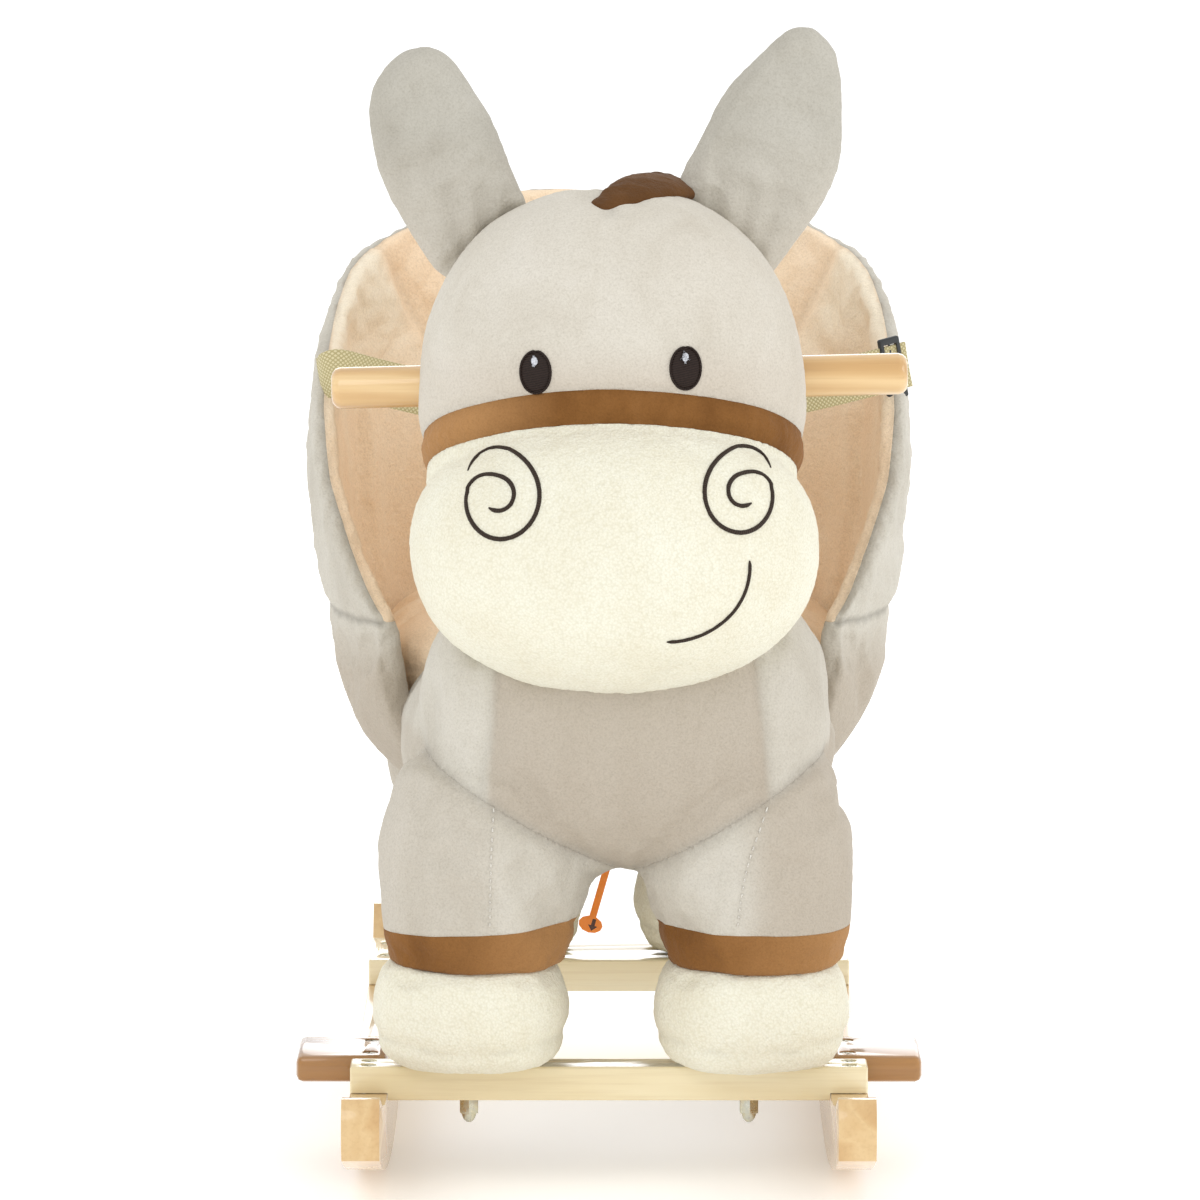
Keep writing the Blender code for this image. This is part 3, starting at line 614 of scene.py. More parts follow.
def away_from(points, route):
    """Distance of each point to a bent line, in as many dimensions as the route has."""
    best = np.full(len(points), 1e9)
    for a, b in zip(np.array(route[:-1], float), np.array(route[1:], float)):
        step = b - a
        share = np.clip(((points - a) @ step) / (step @ step), 0, 1)
        best = np.minimum(best, np.linalg.norm(points - a - share[:, None] * step, axis=1))
    return best


def groove(distance, width):
    """One on a line, falling to nothing beside it."""
    return np.exp(-(distance / width) ** 2)


def refine(obj, levels=1):
    """Divides the faces finer and rounds them."""
    modifier = obj.modifiers.new("refine", "SUBSURF")
    modifier.levels = modifier.render_levels = levels
    apply_modifiers(obj)


def cut_along(bm, field):
    """Splits the faces along the line where the field is zero, and returns each vertex's field."""
    value = {vert: field(vert.co) or 1e-7 for vert in bm.verts}
    fresh = set()
    for edge in [e for e in bm.edges if value[e.verts[0]] * value[e.verts[1]] < 0]:
        first, second = edge.verts
        share = value[first] / (value[first] - value[second])
        _, made = bmesh.utils.edge_split(edge, first, share)
        value[made] = 0.0
        fresh.add(made)
    for face in list(bm.faces):
        ends = [vert for vert in face.verts if vert in fresh]
        if len(ends) == 2 and not bm.edges.get(ends):
            bmesh.utils.face_split(face, ends[0], ends[1])
    return value


def divide(obj, field, inner_name, outer_name, tuck=0.004, skin=0.0):
    """Divides a closed cover in two closed covers at a seam: field > 0 is outer. Seam edges turn in.
    With a skin thickness each cover is a shell of cloth, and otherwise its open side is filled."""
    made = []
    for name, sign in ((inner_name, -1), (outer_name, 1)):
        bm = bmesh.new()
        bm.from_mesh(obj.data)
        value = cut_along(bm, field)
        extra = [f for f in bm.faces if sum(value[v] for v in f.verts) * sign < 0]
        bmesh.ops.delete(bm, geom=extra, context="FACES")
        bm.normal_update()
        rim = [e for e in bm.edges if e.is_boundary]
        turned = bmesh.ops.extrude_edge_only(bm, edges=rim)["geom"]
        moved = [g for g in turned if isinstance(g, bmesh.types.BMVert)]
        bm.normal_update()
        old_normals = {}
        for vert in moved:
            linked = [e.other_vert(vert) for e in vert.link_edges]
            source = next(v for v in linked if v not in moved)
            old_normals[vert] = source
        middle = sum((v.co for v in moved), Vector()) / max(1, len(moved))
        for vert, source in old_normals.items():
            inward = -source.normal * 0.6 + (middle - source.co).normalized() * 0.4
            vert.co = source.co + inward.normalized() * tuck
        if not skin:
            rim = [e for e in bm.edges if e.is_boundary]
            bmesh.ops.holes_fill(bm, edges=rim, sides=0)
        bmesh.ops.triangulate(bm, faces=[f for f in bm.faces if len(f.verts) > 4])
        bmesh.ops.recalc_face_normals(bm, faces=bm.faces)
        cover = from_bmesh(name, bm)
        if skin:
            cloth = cover.modifiers.new("cloth", "SOLIDIFY")
            cloth.thickness = skin
            cloth.offset = -1.0
            apply_modifiers(cover)
        made.append(cover)
    bpy.data.objects.remove(obj, do_unlink=True)
    return made


def surface(*objects):
    """One searchable surface over several objects."""
    verts, faces = [], []
    for obj in objects:
        start = len(verts)
        verts += [v.co.copy() for v in obj.data.vertices]
        faces += [[start + i for i in p.vertices] for p in obj.data.polygons]
    return BVHTree.FromPolygons(verts, faces)


def on_front(skin, x, z):
    """Where a line along Y first meets the skin from the front, and the skin's normal there."""
    place, normal, _, _ = skin.ray_cast(Vector((x, -1.0, z)), Vector((0, 1, 0)))
    return place, normal


def smooth_route(points, count):
    """Evenly shared points on a smooth curve through the given ones."""
    points = [Vector(p) for p in points]
    ends = [2 * points[0] - points[1]] + points + [2 * points[-1] - points[-2]]
    made = []
    for step in range(count):
        place = step / (count - 1) * (len(points) - 1)
        index = min(int(place), len(points) - 2)
        t = place - index
        a, b, c, d = ends[index:index + 4]
        made.append(0.5 * (2 * b + (c - a) * t + (2 * a - 5 * b + 4 * c - d) * t * t
                           + (3 * b - a - 3 * c + d) * t ** 3))
    return made


def strip_of(name, places, normals, wide, high, sides=8, taper=0.0):
    """A low rounded cord along the places, lying on the surface whose normals are given."""
    bm = bmesh.new()
    uv = bm.loops.layers.uv.new("UVMap")
    loops, lengths, length = [], [], 0.0
    last = len(places) - 1
    for index, (place, normal) in enumerate(zip(places, normals)):
        tangent = (places[min(index + 1, last)] - places[max(index - 1, 0)]).normalized()
        side = tangent.cross(normal).normalized()
        up = side.cross(tangent).normalized()
        edge = min(index, last - index) / last
        share = 1.0 if taper == 0 else min(1.0, 0.35 + 0.65 * edge / taper)
        if index:
            length += (place - places[index - 1]).length
        lengths.append(length)
        ring = []
        for corner in range(sides):
            turn = 2 * math.pi * corner / sides
            ring.append(bm.verts.new(place + side * math.cos(turn) * wide / 2 * share
                                     + up * math.sin(turn) * high * share))
        loops.append(ring)
    for index in range(last):
        for corner in range(sides):
            after = (corner + 1) % sides
            face = bm.faces.new((loops[index][corner], loops[index][after],
                                 loops[index + 1][after], loops[index + 1][corner]))
            for loop, (row, col) in zip(face.loops, ((index, corner), (index, corner + 1),
                                                     (index + 1, corner + 1), (index + 1, corner))):
                loop[uv].uv = (lengths[row], col * 0.0006)
    bm.faces.new(loops[0][::-1])
    bm.faces.new(loops[-1])
    bmesh.ops.recalc_face_normals(bm, faces=bm.faces)
    return from_bmesh(name, bm)


# ---------------------------------------------------------------- wooden base and fittings

def base():
    """Runners, foot boards, cross boards and handle, with their edges eased."""
    for side, _ in SIDES:
        dress(eased(f"rocker_{side}", f"runner_{side}", 0.0016), "honey_y",
              nodes=[f"rocker_{side}"], angle=30)
        dress(eased(f"pedal_{side}", f"foot_board_{side}", 0.0012), "pedal",
              nodes=[f"pedal_{side}"], angle=30)
    for place in ("front", "rear"):
        dress(eased(f"{place}_rail", f"{place}_cross_board", 0.0009), "pine",
              nodes=[f"{place}_rail"], angle=30)
    dress(eased("handle_bar", "grip_bar", 0.0008), "honey_x", nodes=["handle_bar"], angle=35)


def cross_slot(x, y, top):
    """The cutter of a cross recess, as two crossed tapered bars."""
    bars = []
    for turn in (0, math.pi / 2):
        deselect()
        bpy.ops.mesh.primitive_cube_add(size=1.0, location=(x, y, top), rotation=(0, 0, turn + 0.5))
        bar = bpy.context.object
        bar.scale = (0.0046, 0.0010, 0.0026)
        bpy.ops.object.transform_apply(location=True, rotation=True, scale=True)
        bars.append(bar)
    return bars


def screws():
    """Countersunk heads with a cross recess."""
    for node in [name for name in NODES if "_screw_" in name]:
        low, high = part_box(node)
        x, y = (low[0] + high[0]) / 2, (low[1] + high[1]) / 2
        screw = node_copy(node, node.replace("_screw", "_wood_screw"))
        for bar in cross_slot(x, y, high[2]):
            cut = screw.modifiers.new("recess", "BOOLEAN")
            cut.operation = "DIFFERENCE"
            cut.object = bar
            cut.solver = "EXACT"
        cutters = [m.object for m in screw.modifiers]
        apply_modifiers(screw)
        for cutter in cutters:
            bpy.data.objects.remove(cutter, do_unlink=True)
        dress(screw, "zinc", nodes=[node], angle=30)


def domed_nuts():
    """Hexagon nuts with a smaller dome, in the place of the frame's bolt heads."""
    for node in [name for name in NODES if name.startswith("leg_bolt")]:
        low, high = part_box(node)
        x, y = (low[0] + high[0]) / 2, (low[1] + high[1]) / 2
        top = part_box("front_rail")[0][2] - 0.0003
        across = (high[0] - low[0]) / 2
        deselect()
        bpy.ops.mesh.primitive_cylinder_add(vertices=6, radius=across, depth=0.0085,
                                            location=(x, y, top - 0.00425), rotation=(0, 0, math.radians(4)))
        head = bpy.context.object
        bpy.ops.object.transform_apply(location=True, rotation=True, scale=True)
        edge = head.modifiers.new("edge", "BEVEL")
        edge.width = 0.00035
        edge.segments = 3
        deselect()
        dome_low = low[2]
        bpy.ops.mesh.primitive_uv_sphere_add(segments=28, ring_count=16, radius=1.0,
                                             location=(x, y, top - 0.0080))
        dome = bpy.context.object
        dome.scale = (0.0039, 0.0039, top - 0.0080 - dome_low)
        bpy.ops.object.transform_apply(location=True, rotation=True, scale=True)
        deselect()
        bpy.ops.mesh.primitive_cylinder_add(vertices=20, radius=0.0029, depth=high[2] - top + 0.001,
                                            location=(x, y, (high[2] + top) / 2))
        shank = bpy.context.object
        bpy.ops.object.transform_apply(location=True, rotation=True, scale=True)
        apply_modifiers(head)
        for other in (dome, shank):
            joined = head.modifiers.new("join", "BOOLEAN")
            joined.operation = "UNION"
            joined.object = other
            joined.solver = "EXACT"
        apply_modifiers(head)
        for other in (dome, shank):
            bpy.data.objects.remove(other, do_unlink=True)
        head.name = node.replace("leg_bolt", "domed_bolt")
        dress(head, "zinc", nodes=[node], angle=30)


def inner_frame():
    """The boards and posts inside keep their CAD shape and get their wood."""
    for name, obj in NODES.items():
        if name.startswith("leg_post") or name == "neck_post":
            obj.data.materials.clear()
            obj.data.materials.append(FINISH["post"])
        if name in ("seat_board", "back_board"):
            obj.data.materials.clear()
            obj.data.materials.append(FINISH["ply"])


# ---------------------------------------------------------------- plush body

LEG_Y = {"front": -0.135, "rear": 0.206}


def leg_rings(place, sign):
    """Level rings up one leg: (z, x, y, half width, half depth). The legs lean out as they go down."""
    y = LEG_Y[place]
    if place == "rear":
        return [(0.1190, sign * 0.0660, y, 0.0450, 0.0460),
                (0.1420, sign * 0.0660, y - 0.004, 0.0520, 0.0520),
                (0.1650, sign * 0.0650, y - 0.012, 0.0590, 0.0590),
                (0.1900, sign * 0.0640, y - 0.024, 0.0610, 0.0640),
                (0.2200, sign * 0.0580, y - 0.036, 0.0580, 0.0620),
                (0.2380, sign * 0.0520, y - 0.048, 0.0400, 0.0450)]
    shift = 0.0040
    return [(0.1190, sign * 0.0733 + shift, y, 0.0472, 0.0480),
            (0.1420, sign * 0.0730 + shift, y, 0.0496, 0.0500),
            (0.1650, sign * 0.0680 + shift, y + 0.006, 0.0555, 0.0560),
            (0.1900, sign * 0.0640 + shift, y + 0.012, 0.0590, 0.0620),
            (0.2200, sign * 0.0580 + shift, y + 0.018, 0.0560, 0.0600),
            (0.2380, sign * 0.0520 + shift, y + 0.024, 0.0400, 0.0450)]


def leg_field(place, sign):
    """Seam between a leg and the body: under zero belongs to the leg."""
    middle = 0.009
    y = LEG_Y[place]
    toward = 1 if place == "front" else -1

    def field(p):
        inner = (p.x - middle) * sign
        back = max(0.0, (p.y - y) * toward - 0.012)
        top = 0.1670 + 0.60 * inner - 13.0 * back * back
        return max((p.z - top) / 1.17, 0.004 - inner)
    return field


def body_blank():
    """Belly, chest, neck and legs as one plain form."""
    forms = [ball("belly", (LEAN / 2, 0.036, 0.224), (0.114, 0.196, 0.060), 3.2),
             ball("chest", (LEAN, -0.106, 0.246), (0.1065, 0.079, 0.081), 2.5),
             ball("neck", (LEAN / 2, -0.080, 0.300), (0.086, 0.058, 0.070), 2.4)]
    for place in LEG_Y:
        for _, sign in SIDES:
            forms.append(lofted("leg_form", leg_rings(place, sign)))
    return merged("body", forms, 0.004, 9)


CHEST_SEAMS = ([(-0.0590, 0.300), (-0.0594, 0.270), (-0.0625, 0.245), (-0.0665, 0.214)],
               [(0.0735, 0.300), (0.0776, 0.270), (0.0825, 0.245), (0.0840, 0.216)])


def body_tone(points):
    """How dark the plush turns: by nap most on the chest's middle panel, then on the legs, least on the
    sides; painted shade on the outer +X side and low at the back under the belly.
    """
    x, y, z = points.T
    middle = 1 / (1 + np.exp(-(x + 0.0605 + (0.26 - z) * 0.05) / 0.0008))
    middle *= 1 / (1 + np.exp((x - 0.0790 - (0.26 - z) * 0.10) / 0.0008))
    shoulder = 0.1670 + 0.60 * np.abs(x - 0.009)
    on_body = 1 / (1 + np.exp(-(z - shoulder) / 0.0012))
    inner = 1 / (1 + np.exp(-(x + 0.0610) / 0.004)) / (1 + np.exp((x - 0.0740) / 0.004))
    # Painted shade: the outer +X side of the body and legs is darker, as on the side turned from the key
    # light.
    outer = 1 / (1 + np.exp(-(x - 0.0780) / 0.004))
    tone = on_body * (middle * 0.66 + 0.16 * outer) + (1 - on_body) * (0.28 - 0.24 * inner + 0.38 * outer)
    # Painted shade: low at the back, under the belly, the plush is darker; behind the chest the front's tone
    # fades out.
    return tone * np.clip((-0.02 - y) / 0.03, 0, 1) + 0.35 * (z < 0.21) * np.clip((y + 0.02) / 0.03, 0, 1)


def body():
    """Belly, chest and neck with the four legs, sewn from panels."""
    blank = body_blank()
    points = points_of(blank)
    fields = {(place, side): leg_field(place, sign) for place in LEG_Y for side, sign in SIDES}
    seams = np.zeros(len(points))
    for field in fields.values():
        values = np.array([abs(field(Vector(p))) for p in points])
        seams = np.maximum(seams, groove(values, 0.0045))
    front = points[:, 1] < -0.06
    for route in CHEST_SEAMS:
        near = groove(away_from(points[:, [0, 2]], route), 0.0035) * front
        seams = np.maximum(seams, near * 0.8)
    low = np.clip((0.124 - points[:, 2]) / 0.003, 0, 1)
    blow_up(blank, np.maximum(seams, low), 2.2, 0.0045, 0.03)
    push(blank, -0.0022 * seams)
    # Painted shade: darker along the leg and chest seams, through the crease mark.
    mark(blank, "crease", seams ** 3 * 0.42)
    refine(blank)
    mark(blank, "tone", body_tone(points_of(blank)))
    rub(blank, 0.0014, 0.030, 3.1)
    rub(blank, 0.0003, 0.0045, 7.7)
    pocket_low, pocket_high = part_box("sound_module")
    for (place, side), field in fields.items():
        leg, blank = divide(blank, field, f"leg_cover_{place}_{side}", "body")
        banded_leg(leg, place, side)
    blank.name = "body_cover"
    deselect()
    bpy.ops.mesh.primitive_cube_add(size=1.0)
    hole = bpy.context.object
    low_corner = Vector((pocket_low[0] - 0.003, pocket_low[1] - 0.009, 0.10))
    high_corner = Vector((pocket_high[0] + 0.003, pocket_high[1] + 0.003, pocket_high[2] + 0.001))
    hole.scale = high_corner - low_corner
    hole.location = (low_corner + high_corner) / 2
    bpy.ops.object.transform_apply(location=True, rotation=True, scale=True)
    pocket = blank.modifiers.new("pocket", "BOOLEAN")
    pocket.operation = "DIFFERENCE"
    pocket.object = hole
    pocket.solver = "EXACT"
    apply_modifiers(blank)
    bpy.data.objects.remove(hole, do_unlink=True)
    dress(blank, "gray", nodes=["torso"])
    return blank


def banded_leg(leg, place, side):
    """Cuts the brown cuff off the foot of a leg, and on a front leg sews a dashed line down its front."""
    sign = 1 if side == "left" else -1
    tilt = 0.05 if side == "right" else 0.012

    def field(p):
        return p.z - 0.1415 + tilt * (p.x * sign - 0.072)
    skin = surface(leg)
    band, leg = divide(leg, field, f"cuff_{place}_{side}", f"leg_plush_{place}_{side}", 0.003)
    dress(leg, "gray", nodes=[f"leg_{place}_{side}"])
    across = points_of(band)[:, 0]
    mark(band, "tone", 0.95 * ((across - across.min()) / (across.max() - across.min())) ** 1.8)
    dress(band, "brown")
    if place == "front":
        x = 0.0825 if side == "left" else -0.0600
        drift = -0.0155 if side == "left" else -0.002
        route = [(x, 0.208), (x + drift * 0.55, 0.185), (x + drift * 0.85, 0.165), (x + drift, 0.146)]
        dashes(f"leg_stitch_{side}", skin, route, 15)


def dashes(name, skin, route, count):
    """A line of separate stitches lying on the skin."""
    path = smooth_route([(x, 0.0, z) for x, z in route], count * 4)
    for index in range(count):
        spots = [on_front(skin, p.x, p.z) for p in path[index * 4:index * 4 + 3]]
        if all(place for place, _ in spots):
            places = [place + normal * 0.0004 for place, normal in spots]
            stitch = strip_of(f"{name}_{index}", places, [n for _, n in spots], 0.0009, 0.0004, 6)
            dress(stitch, "stitch")


def hooves():
    """Round terry feet with a sewn sole."""
    for place in LEG_Y:
        for side, sign in SIDES:
            low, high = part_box(f"hoof_{place}_{side}")
            x = (low.x + high.x) / 2 + (0.001 if place == "front" else 0.0)
            y = (low.y + high.y) / 2
            shape = [(0.0656, 0.036), (0.0680, 0.0425), (0.0760, 0.0480), (0.0880, 0.0508),
                     (0.1000, 0.0505), (0.1120, 0.0480), (0.1212, 0.0430)]
            form = lofted("foot", [(z, x, y, r, r) for z, r in shape], 48, 2.25)
            foot = merged(f"foot_{place}_{side}", [form], 0.0035, 4)
            points = points_of(foot)
            dip = 0.0035 * np.cos((points[:, 0] - x) * 45)
            sole = groove(points[:, 2] - 0.0810 + dip, 0.0028)
            ends = np.clip((0.0675 - points[:, 2]) / 0.002, 0, 1)
            ends += np.clip((points[:, 2] - 0.119) / 0.002, 0, 1)
            blow_up(foot, np.minimum(1, np.maximum(sole * 0.8, ends)), 2.0, 0.003, 0.02)
            push(foot, -0.0010 * sole)
            # Painted shade: darker along the sole seam, through the crease mark.
            mark(foot, "crease", 0.30 * sole ** 8)
            refine(foot)
            rub(foot, 0.0012, 0.020, sign + y)
            rub(foot, 0.0004, 0.0026, sign * 3 + y)
            points = points_of(foot)
            points[:, 2] = np.maximum(points[:, 2], 0.0654)
            set_points(foot, points)
            dress(foot, "cream", nodes=[f"hoof_{place}_{side}"])


# ---------------------------------------------------------------- head

HEAD_MIDDLE = Vector((0.0015, -0.118, 0.411))
MUZZLE_MIDDLE = Vector((0.0030, -0.158, 0.3415))
BAND_TILT = math.radians(22)
BAND_FRONT = Vector((0.0, -0.200, 0.4215))
BAND_HALF = 0.0083


def band_height(p):
    """Height above the middle of the noseband, which slopes down towards the nape."""
    bow = 0.042 * (math.hypot(p.x, 0.012) - 0.012)
    return (p.z - BAND_FRONT.z + bow) * math.cos(BAND_TILT) + (p.y - BAND_FRONT.y) * math.sin(BAND_TILT)


def head():
    """Crown, noseband and muzzle, cut from one stuffed form."""
    forms = [ball("crown", HEAD_MIDDLE, (0.1005, 0.0800, 0.1140), 2.3, 36),
             ball("nose", MUZZLE_MIDDLE, (0.1055, 0.0860, 0.0735), 2.15, 36)]
    blank = merged("head", forms, 0.0035, 3)
    points = points_of(blank)
    heights = np.array([band_height(Vector(p)) for p in points])
    seams = np.maximum(groove(heights - BAND_HALF, 0.0030), groove(heights + BAND_HALF, 0.0030))
    crown_seam = groove(points[:, 0] - 0.001, 0.003) * np.clip((points[:, 2] - 0.512) / 0.006, 0, 1)
    chin_seam = groove(points[:, 0] - 0.006, 0.0025) * np.clip((0.300 - points[:, 2]) / 0.02, 0, 1)
    light = np.maximum(crown_seam, chin_seam) * 0.4
    blow_up(blank, np.maximum(seams, light), 2.0, 0.0030, 0.015)
    chin = np.exp(-((points[:, 0] - 0.006) / 0.012) ** 2) * np.clip((0.290 - points[:, 2]) / 0.02, 0, 1)
    push(blank, -0.0014 * seams - 0.0010 * light + 0.0022 * chin)
    # Painted shade: darker along the noseband seams and the crown seam, through the crease mark.
    mark(blank, "crease", np.maximum(seams ** 2 * 0.22, crown_seam * 0.35))
    brow = np.clip((0.452 - points[:, 2]) / 0.02, 0, 1) * np.exp(-(points[:, 0] / 0.09) ** 4)
    mark(blank, "tone", 0.75 * brow + 0.2 * np.clip((points[:, 0] - 0.02) / 0.08, 0, 1))
    refine(blank)
    rub(blank, 0.0011, 0.034, 1.3)
    rub(blank, 0.0003, 0.0040, 5.2)
    lower, crown = divide(blank, lambda p: band_height(p) - BAND_HALF, "lower_face", "crown", 0.003)
    muzzle, band = divide(lower, lambda p: band_height(p) + BAND_HALF, "muzzle_cover", "nose_band", 0.003)
    rub(muzzle, 0.0003, 0.0024, 9.4)
    across = points_of(band)[:, 0]
    mark(band, "tone", 0.85 * np.clip((-0.025 - across) / 0.045, 0, 1))
    crown.name = "crown_cover"
    dress(crown, "head", nodes=["head"])
    dress(band, "brown", nodes=["noseband"])
    dress(muzzle, "cream", nodes=["muzzle"])
    face(surface(crown), surface(muzzle))


def embroidered_line(name, skin, points, wide, finish="thread"):
    """A satin-stitched line that lies on the skin."""
    spots = [on_front(skin, x, z) for x, z in points]
    places = [place + normal * 0.0002 for place, normal in spots if place]
    normals = [normal for place, normal in spots if place]
    line = strip_of(name, places, normals, wide, 0.0009, 8, taper=0.03)
    dress(line, finish)


def oval_patch(name, skin, x, z, wide, high, lift, finish):
    """A closely stitched oval that follows the skin, a little domed."""
    deselect()
    bpy.ops.mesh.primitive_circle_add(vertices=36, radius=1.0, fill_type="TRIFAN")
    obj = bpy.context.object
    obj.name = name
    bm = bmesh.new()
    bm.from_mesh(obj.data)
    bmesh.ops.subdivide_edges(bm, edges=bm.edges, cuts=3, use_grid_fill=True)
    bmesh.ops.triangulate(bm, faces=bm.faces)
    bm.to_mesh(obj.data)
    bm.free()
    points = points_of(obj)
    reach = np.linalg.norm(points[:, :2], axis=1)
    made = []
    for (px, py, _), r in zip(points, reach):
        place, normal = on_front(skin, x + px * wide / 2, z + py * high / 2)
        made.append(place + normal * (lift * (0.55 + 0.45 * math.sqrt(max(0.0, 1 - r * r)))))
    set_points(obj, np.array([tuple(p) for p in made]))
    uv = obj.data.uv_layers.new(name="UVMap") if not obj.data.uv_layers else obj.data.uv_layers[0]
    for polygon in obj.data.polygons:
        for corner in polygon.loop_indices:
            place = obj.data.vertices[obj.data.loops[corner].vertex_index].co
            uv.data[corner].uv = (place.z, place.x)
    solid = obj.modifiers.new("thickness", "SOLIDIFY")
    solid.thickness = lift * 1.6
    solid.offset = -1.0
    apply_modifiers(obj)
    bm = bmesh.new()
    bm.from_mesh(obj.data)
    bmesh.ops.recalc_face_normals(bm, faces=bm.faces)
    bm.to_mesh(obj.data)
    bm.free()
    return dress(obj, finish)


def swirl(x, z, mirror, size):
    """A nostril: one wide turn that winds in to a small hook."""
    points = []
    for step in range(84):
        turned = 630 * step / 83
        ease = min(1.0, max(0.0, (turned - 232) / 200))
        radius = 0.0226 - 0.0140 * (ease * ease * (3 - 2 * ease)) - 0.0040 * max(0.0, 1 - turned / 75)
        angle = math.radians(150 - turned)
        points.append((x + mirror * size * radius * math.cos(angle) * (0.96 if ease < 0.5 else 1.0),
                       z + size * radius * math.sin(angle) * (0.93 if math.sin(angle) > 0 else 1.0)))
    return points


def face(crown_skin, muzzle_skin):
    """Stitched eyes with a spark of white, two swirls for nostrils and a mouth to one side."""
    for side, x, z in (("right", -0.0378, 0.4376), ("left", 0.0394, 0.4396)):
        oval_patch(f"eye_{side}", crown_skin, x, z, 0.0160, 0.0222, 0.0008, "pupil")
        turns = [2 * math.pi * step / 40 for step in range(41)]
        rim = [(x + 0.0078 * math.sin(t), z + 0.0109 * math.cos(t)) for t in turns]
        embroidered_line(f"eye_edge_{side}", crown_skin, rim, 0.0013, "pupil")
        oval_patch(f"eye_shine_{side}", crown_skin, x - 0.0004, z + 0.0056, 0.0034, 0.0046, 0.0019, "shine")
    embroidered_line("nostril_right", muzzle_skin, swirl(-0.0572, 0.3784, 1, 1.0), 0.0024)
    embroidered_line("nostril_left", muzzle_skin, swirl(0.0690, 0.3797, -1, 0.93), 0.0024)
    smile = [(0.0310 + 0.0410 * math.cos(t), 0.3410 + 0.0380 * math.sin(t)) for t in
             [math.radians(5 - 97 * step / 31) for step in range(32)]]
    embroidered_line("mouth", muzzle_skin, smile, 0.0020)


def ear(side):
    """A flat stuffed ear: fullest along its middle, thin at its sewn edge, gathered at its foot."""
    node = f"ear_{side}"
    rough = node_copy(node, f"ear_outline_{side}")
    edge = []
    low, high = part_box(node)
    for bit in rough.data.edges:
        a, b = (rough.data.vertices[i].co for i in bit.vertices)
        straight = (Vector((a.x, a.z)) - Vector((b.x, b.z))).length < TOUCH
        if straight and abs(min(a.y, b.y) - low[1]) < TOUCH and abs(max(a.y, b.y) - high[1]) < TOUCH:
            edge.append((a.x, a.z))
    sign = 1 if side == "left" else -1
    piece = merged(f"ear_cover_{side}", [rough], 0.0035, 5)
    middle = (low[1] + high[1]) / 2
    foot = Vector((sign * 0.062, 0.492))
    rim = np.array(edge)
    points = points_of(piece)
    round_rim = np.argsort(np.arctan2(rim[:, 1] - rim[:, 1].mean(), rim[:, 0] - rim[:, 0].mean()))
    ring = rim[round_rim]
    apart = away_from(points[:, [0, 2]], np.vstack([ring, ring[:1]]))
    full = np.sqrt(np.clip(1 - (1 - np.clip(apart / 0.017, 0, 1)) ** 2, 0.01, 1))
    points[:, 1] = middle + (points[:, 1] - middle) * (0.12 + 0.88 * full)
    up = points[:, 2] - foot.y
    points[:, 1] += 0.010 * np.clip(up / 0.1, 0, 1) ** 2
    sink = np.clip((0.030 - up) / 0.040, 0, 1)
    points[:, 2] -= 0.010 * sink
    points[:, 0] -= sign * 0.004 * sink
    set_points(piece, points)
    folds = np.zeros(len(points))
    for shift in (-0.014, 0.004, 0.018):
        route = [(foot.x + shift * 0.7, foot.y - 0.01), (foot.x + shift + sign * 0.008, foot.y + 0.030)]
        folds = np.maximum(folds, groove(away_from(points[:, [0, 2]], route), 0.0045))
    seam = groove(apart, 0.004)
    blow_up(piece, np.minimum(1, np.maximum(seam, folds * 0.7)), 1.6, 0.0030, 0.04)
    push(piece, -0.0024 * folds)
    mark(piece, "tone", 0.8 * np.clip((0.065 - up) / 0.06, 0, 1))
    refine(piece)
    rub(piece, 0.0013, 0.028, 11.0 + sign)
    rub(piece, 0.0003, 0.0040, 2.0 + sign)
    dress(piece, "ear", nodes=[node])


def lock(name, route, wide, thick, facing=(0, -1, 0.25)):
    """A flat pointed lock of pile, broad across the way it faces."""
    places = smooth_route(route, 14)
    bm = bmesh.new()
    loops = []
    for index, place in enumerate(places):
        share = index / (len(places) - 1)
        tangent = (places[min(index + 1, 13)] - places[max(index - 1, 0)]).normalized()
        side = tangent.cross(Vector(facing)).normalized()
        up = side.cross(tangent).normalized()
        swell = math.sin(math.pi * min(1.0, 0.12 + 0.80 * share ** 0.8)) + 0.05
        ring = []
        for corner in range(14):
            turn = 2 * math.pi * corner / 14
            ring.append(bm.verts.new(place + side * math.cos(turn) * wide / 2 * swell
                                     + up * math.sin(turn) * thick / 2 * swell))
        loops.append(ring)
    for lower, upper in zip(loops, loops[1:]):
        for corner in range(14):
            after = (corner + 1) % 14
            bm.faces.new((lower[corner], lower[after], upper[after], upper[corner]))
    bm.faces.new(loops[0][::-1])
    bm.faces.new(loops[-1])
    bmesh.ops.recalc_face_normals(bm, faces=bm.faces)
    obj = from_bmesh(name, bm)
    refine(obj, 2)
    rub(obj, 0.0009, 0.006, len(name))
    return obj


def mane():
    """A crest down the nape and two floppy locks over the brow."""
    crest = merged("mane_crest", [node_copy("mane", "mane_form")], 0.0035, 4)
    refine(crest)
    rub(crest, 0.0018, 0.008, 4.0)
    set_points(crest, points_of(crest) + np.array((0.010, 0.0, -0.006)))
    dress(crest, "mane", nodes=["mane"])
    flopped = (0, -0.42, 0.90)
    upper = lock("forelock_upper", [(0.047, -0.050, 0.512), (0.033, -0.088, 0.5245), (0.015, -0.126, 0.5260),
                                    (-0.0070, -0.148, 0.5185)], 0.0350, 0.0125, flopped)
    lower = lock("forelock_lower", [(0.045, -0.055, 0.506), (0.030, -0.096, 0.5180), (0.013, -0.134, 0.5190),
                                    (-0.0040, -0.153, 0.5130)], 0.0290, 0.0100, flopped)
    for piece in (upper, lower):
        dress(piece, "mane")


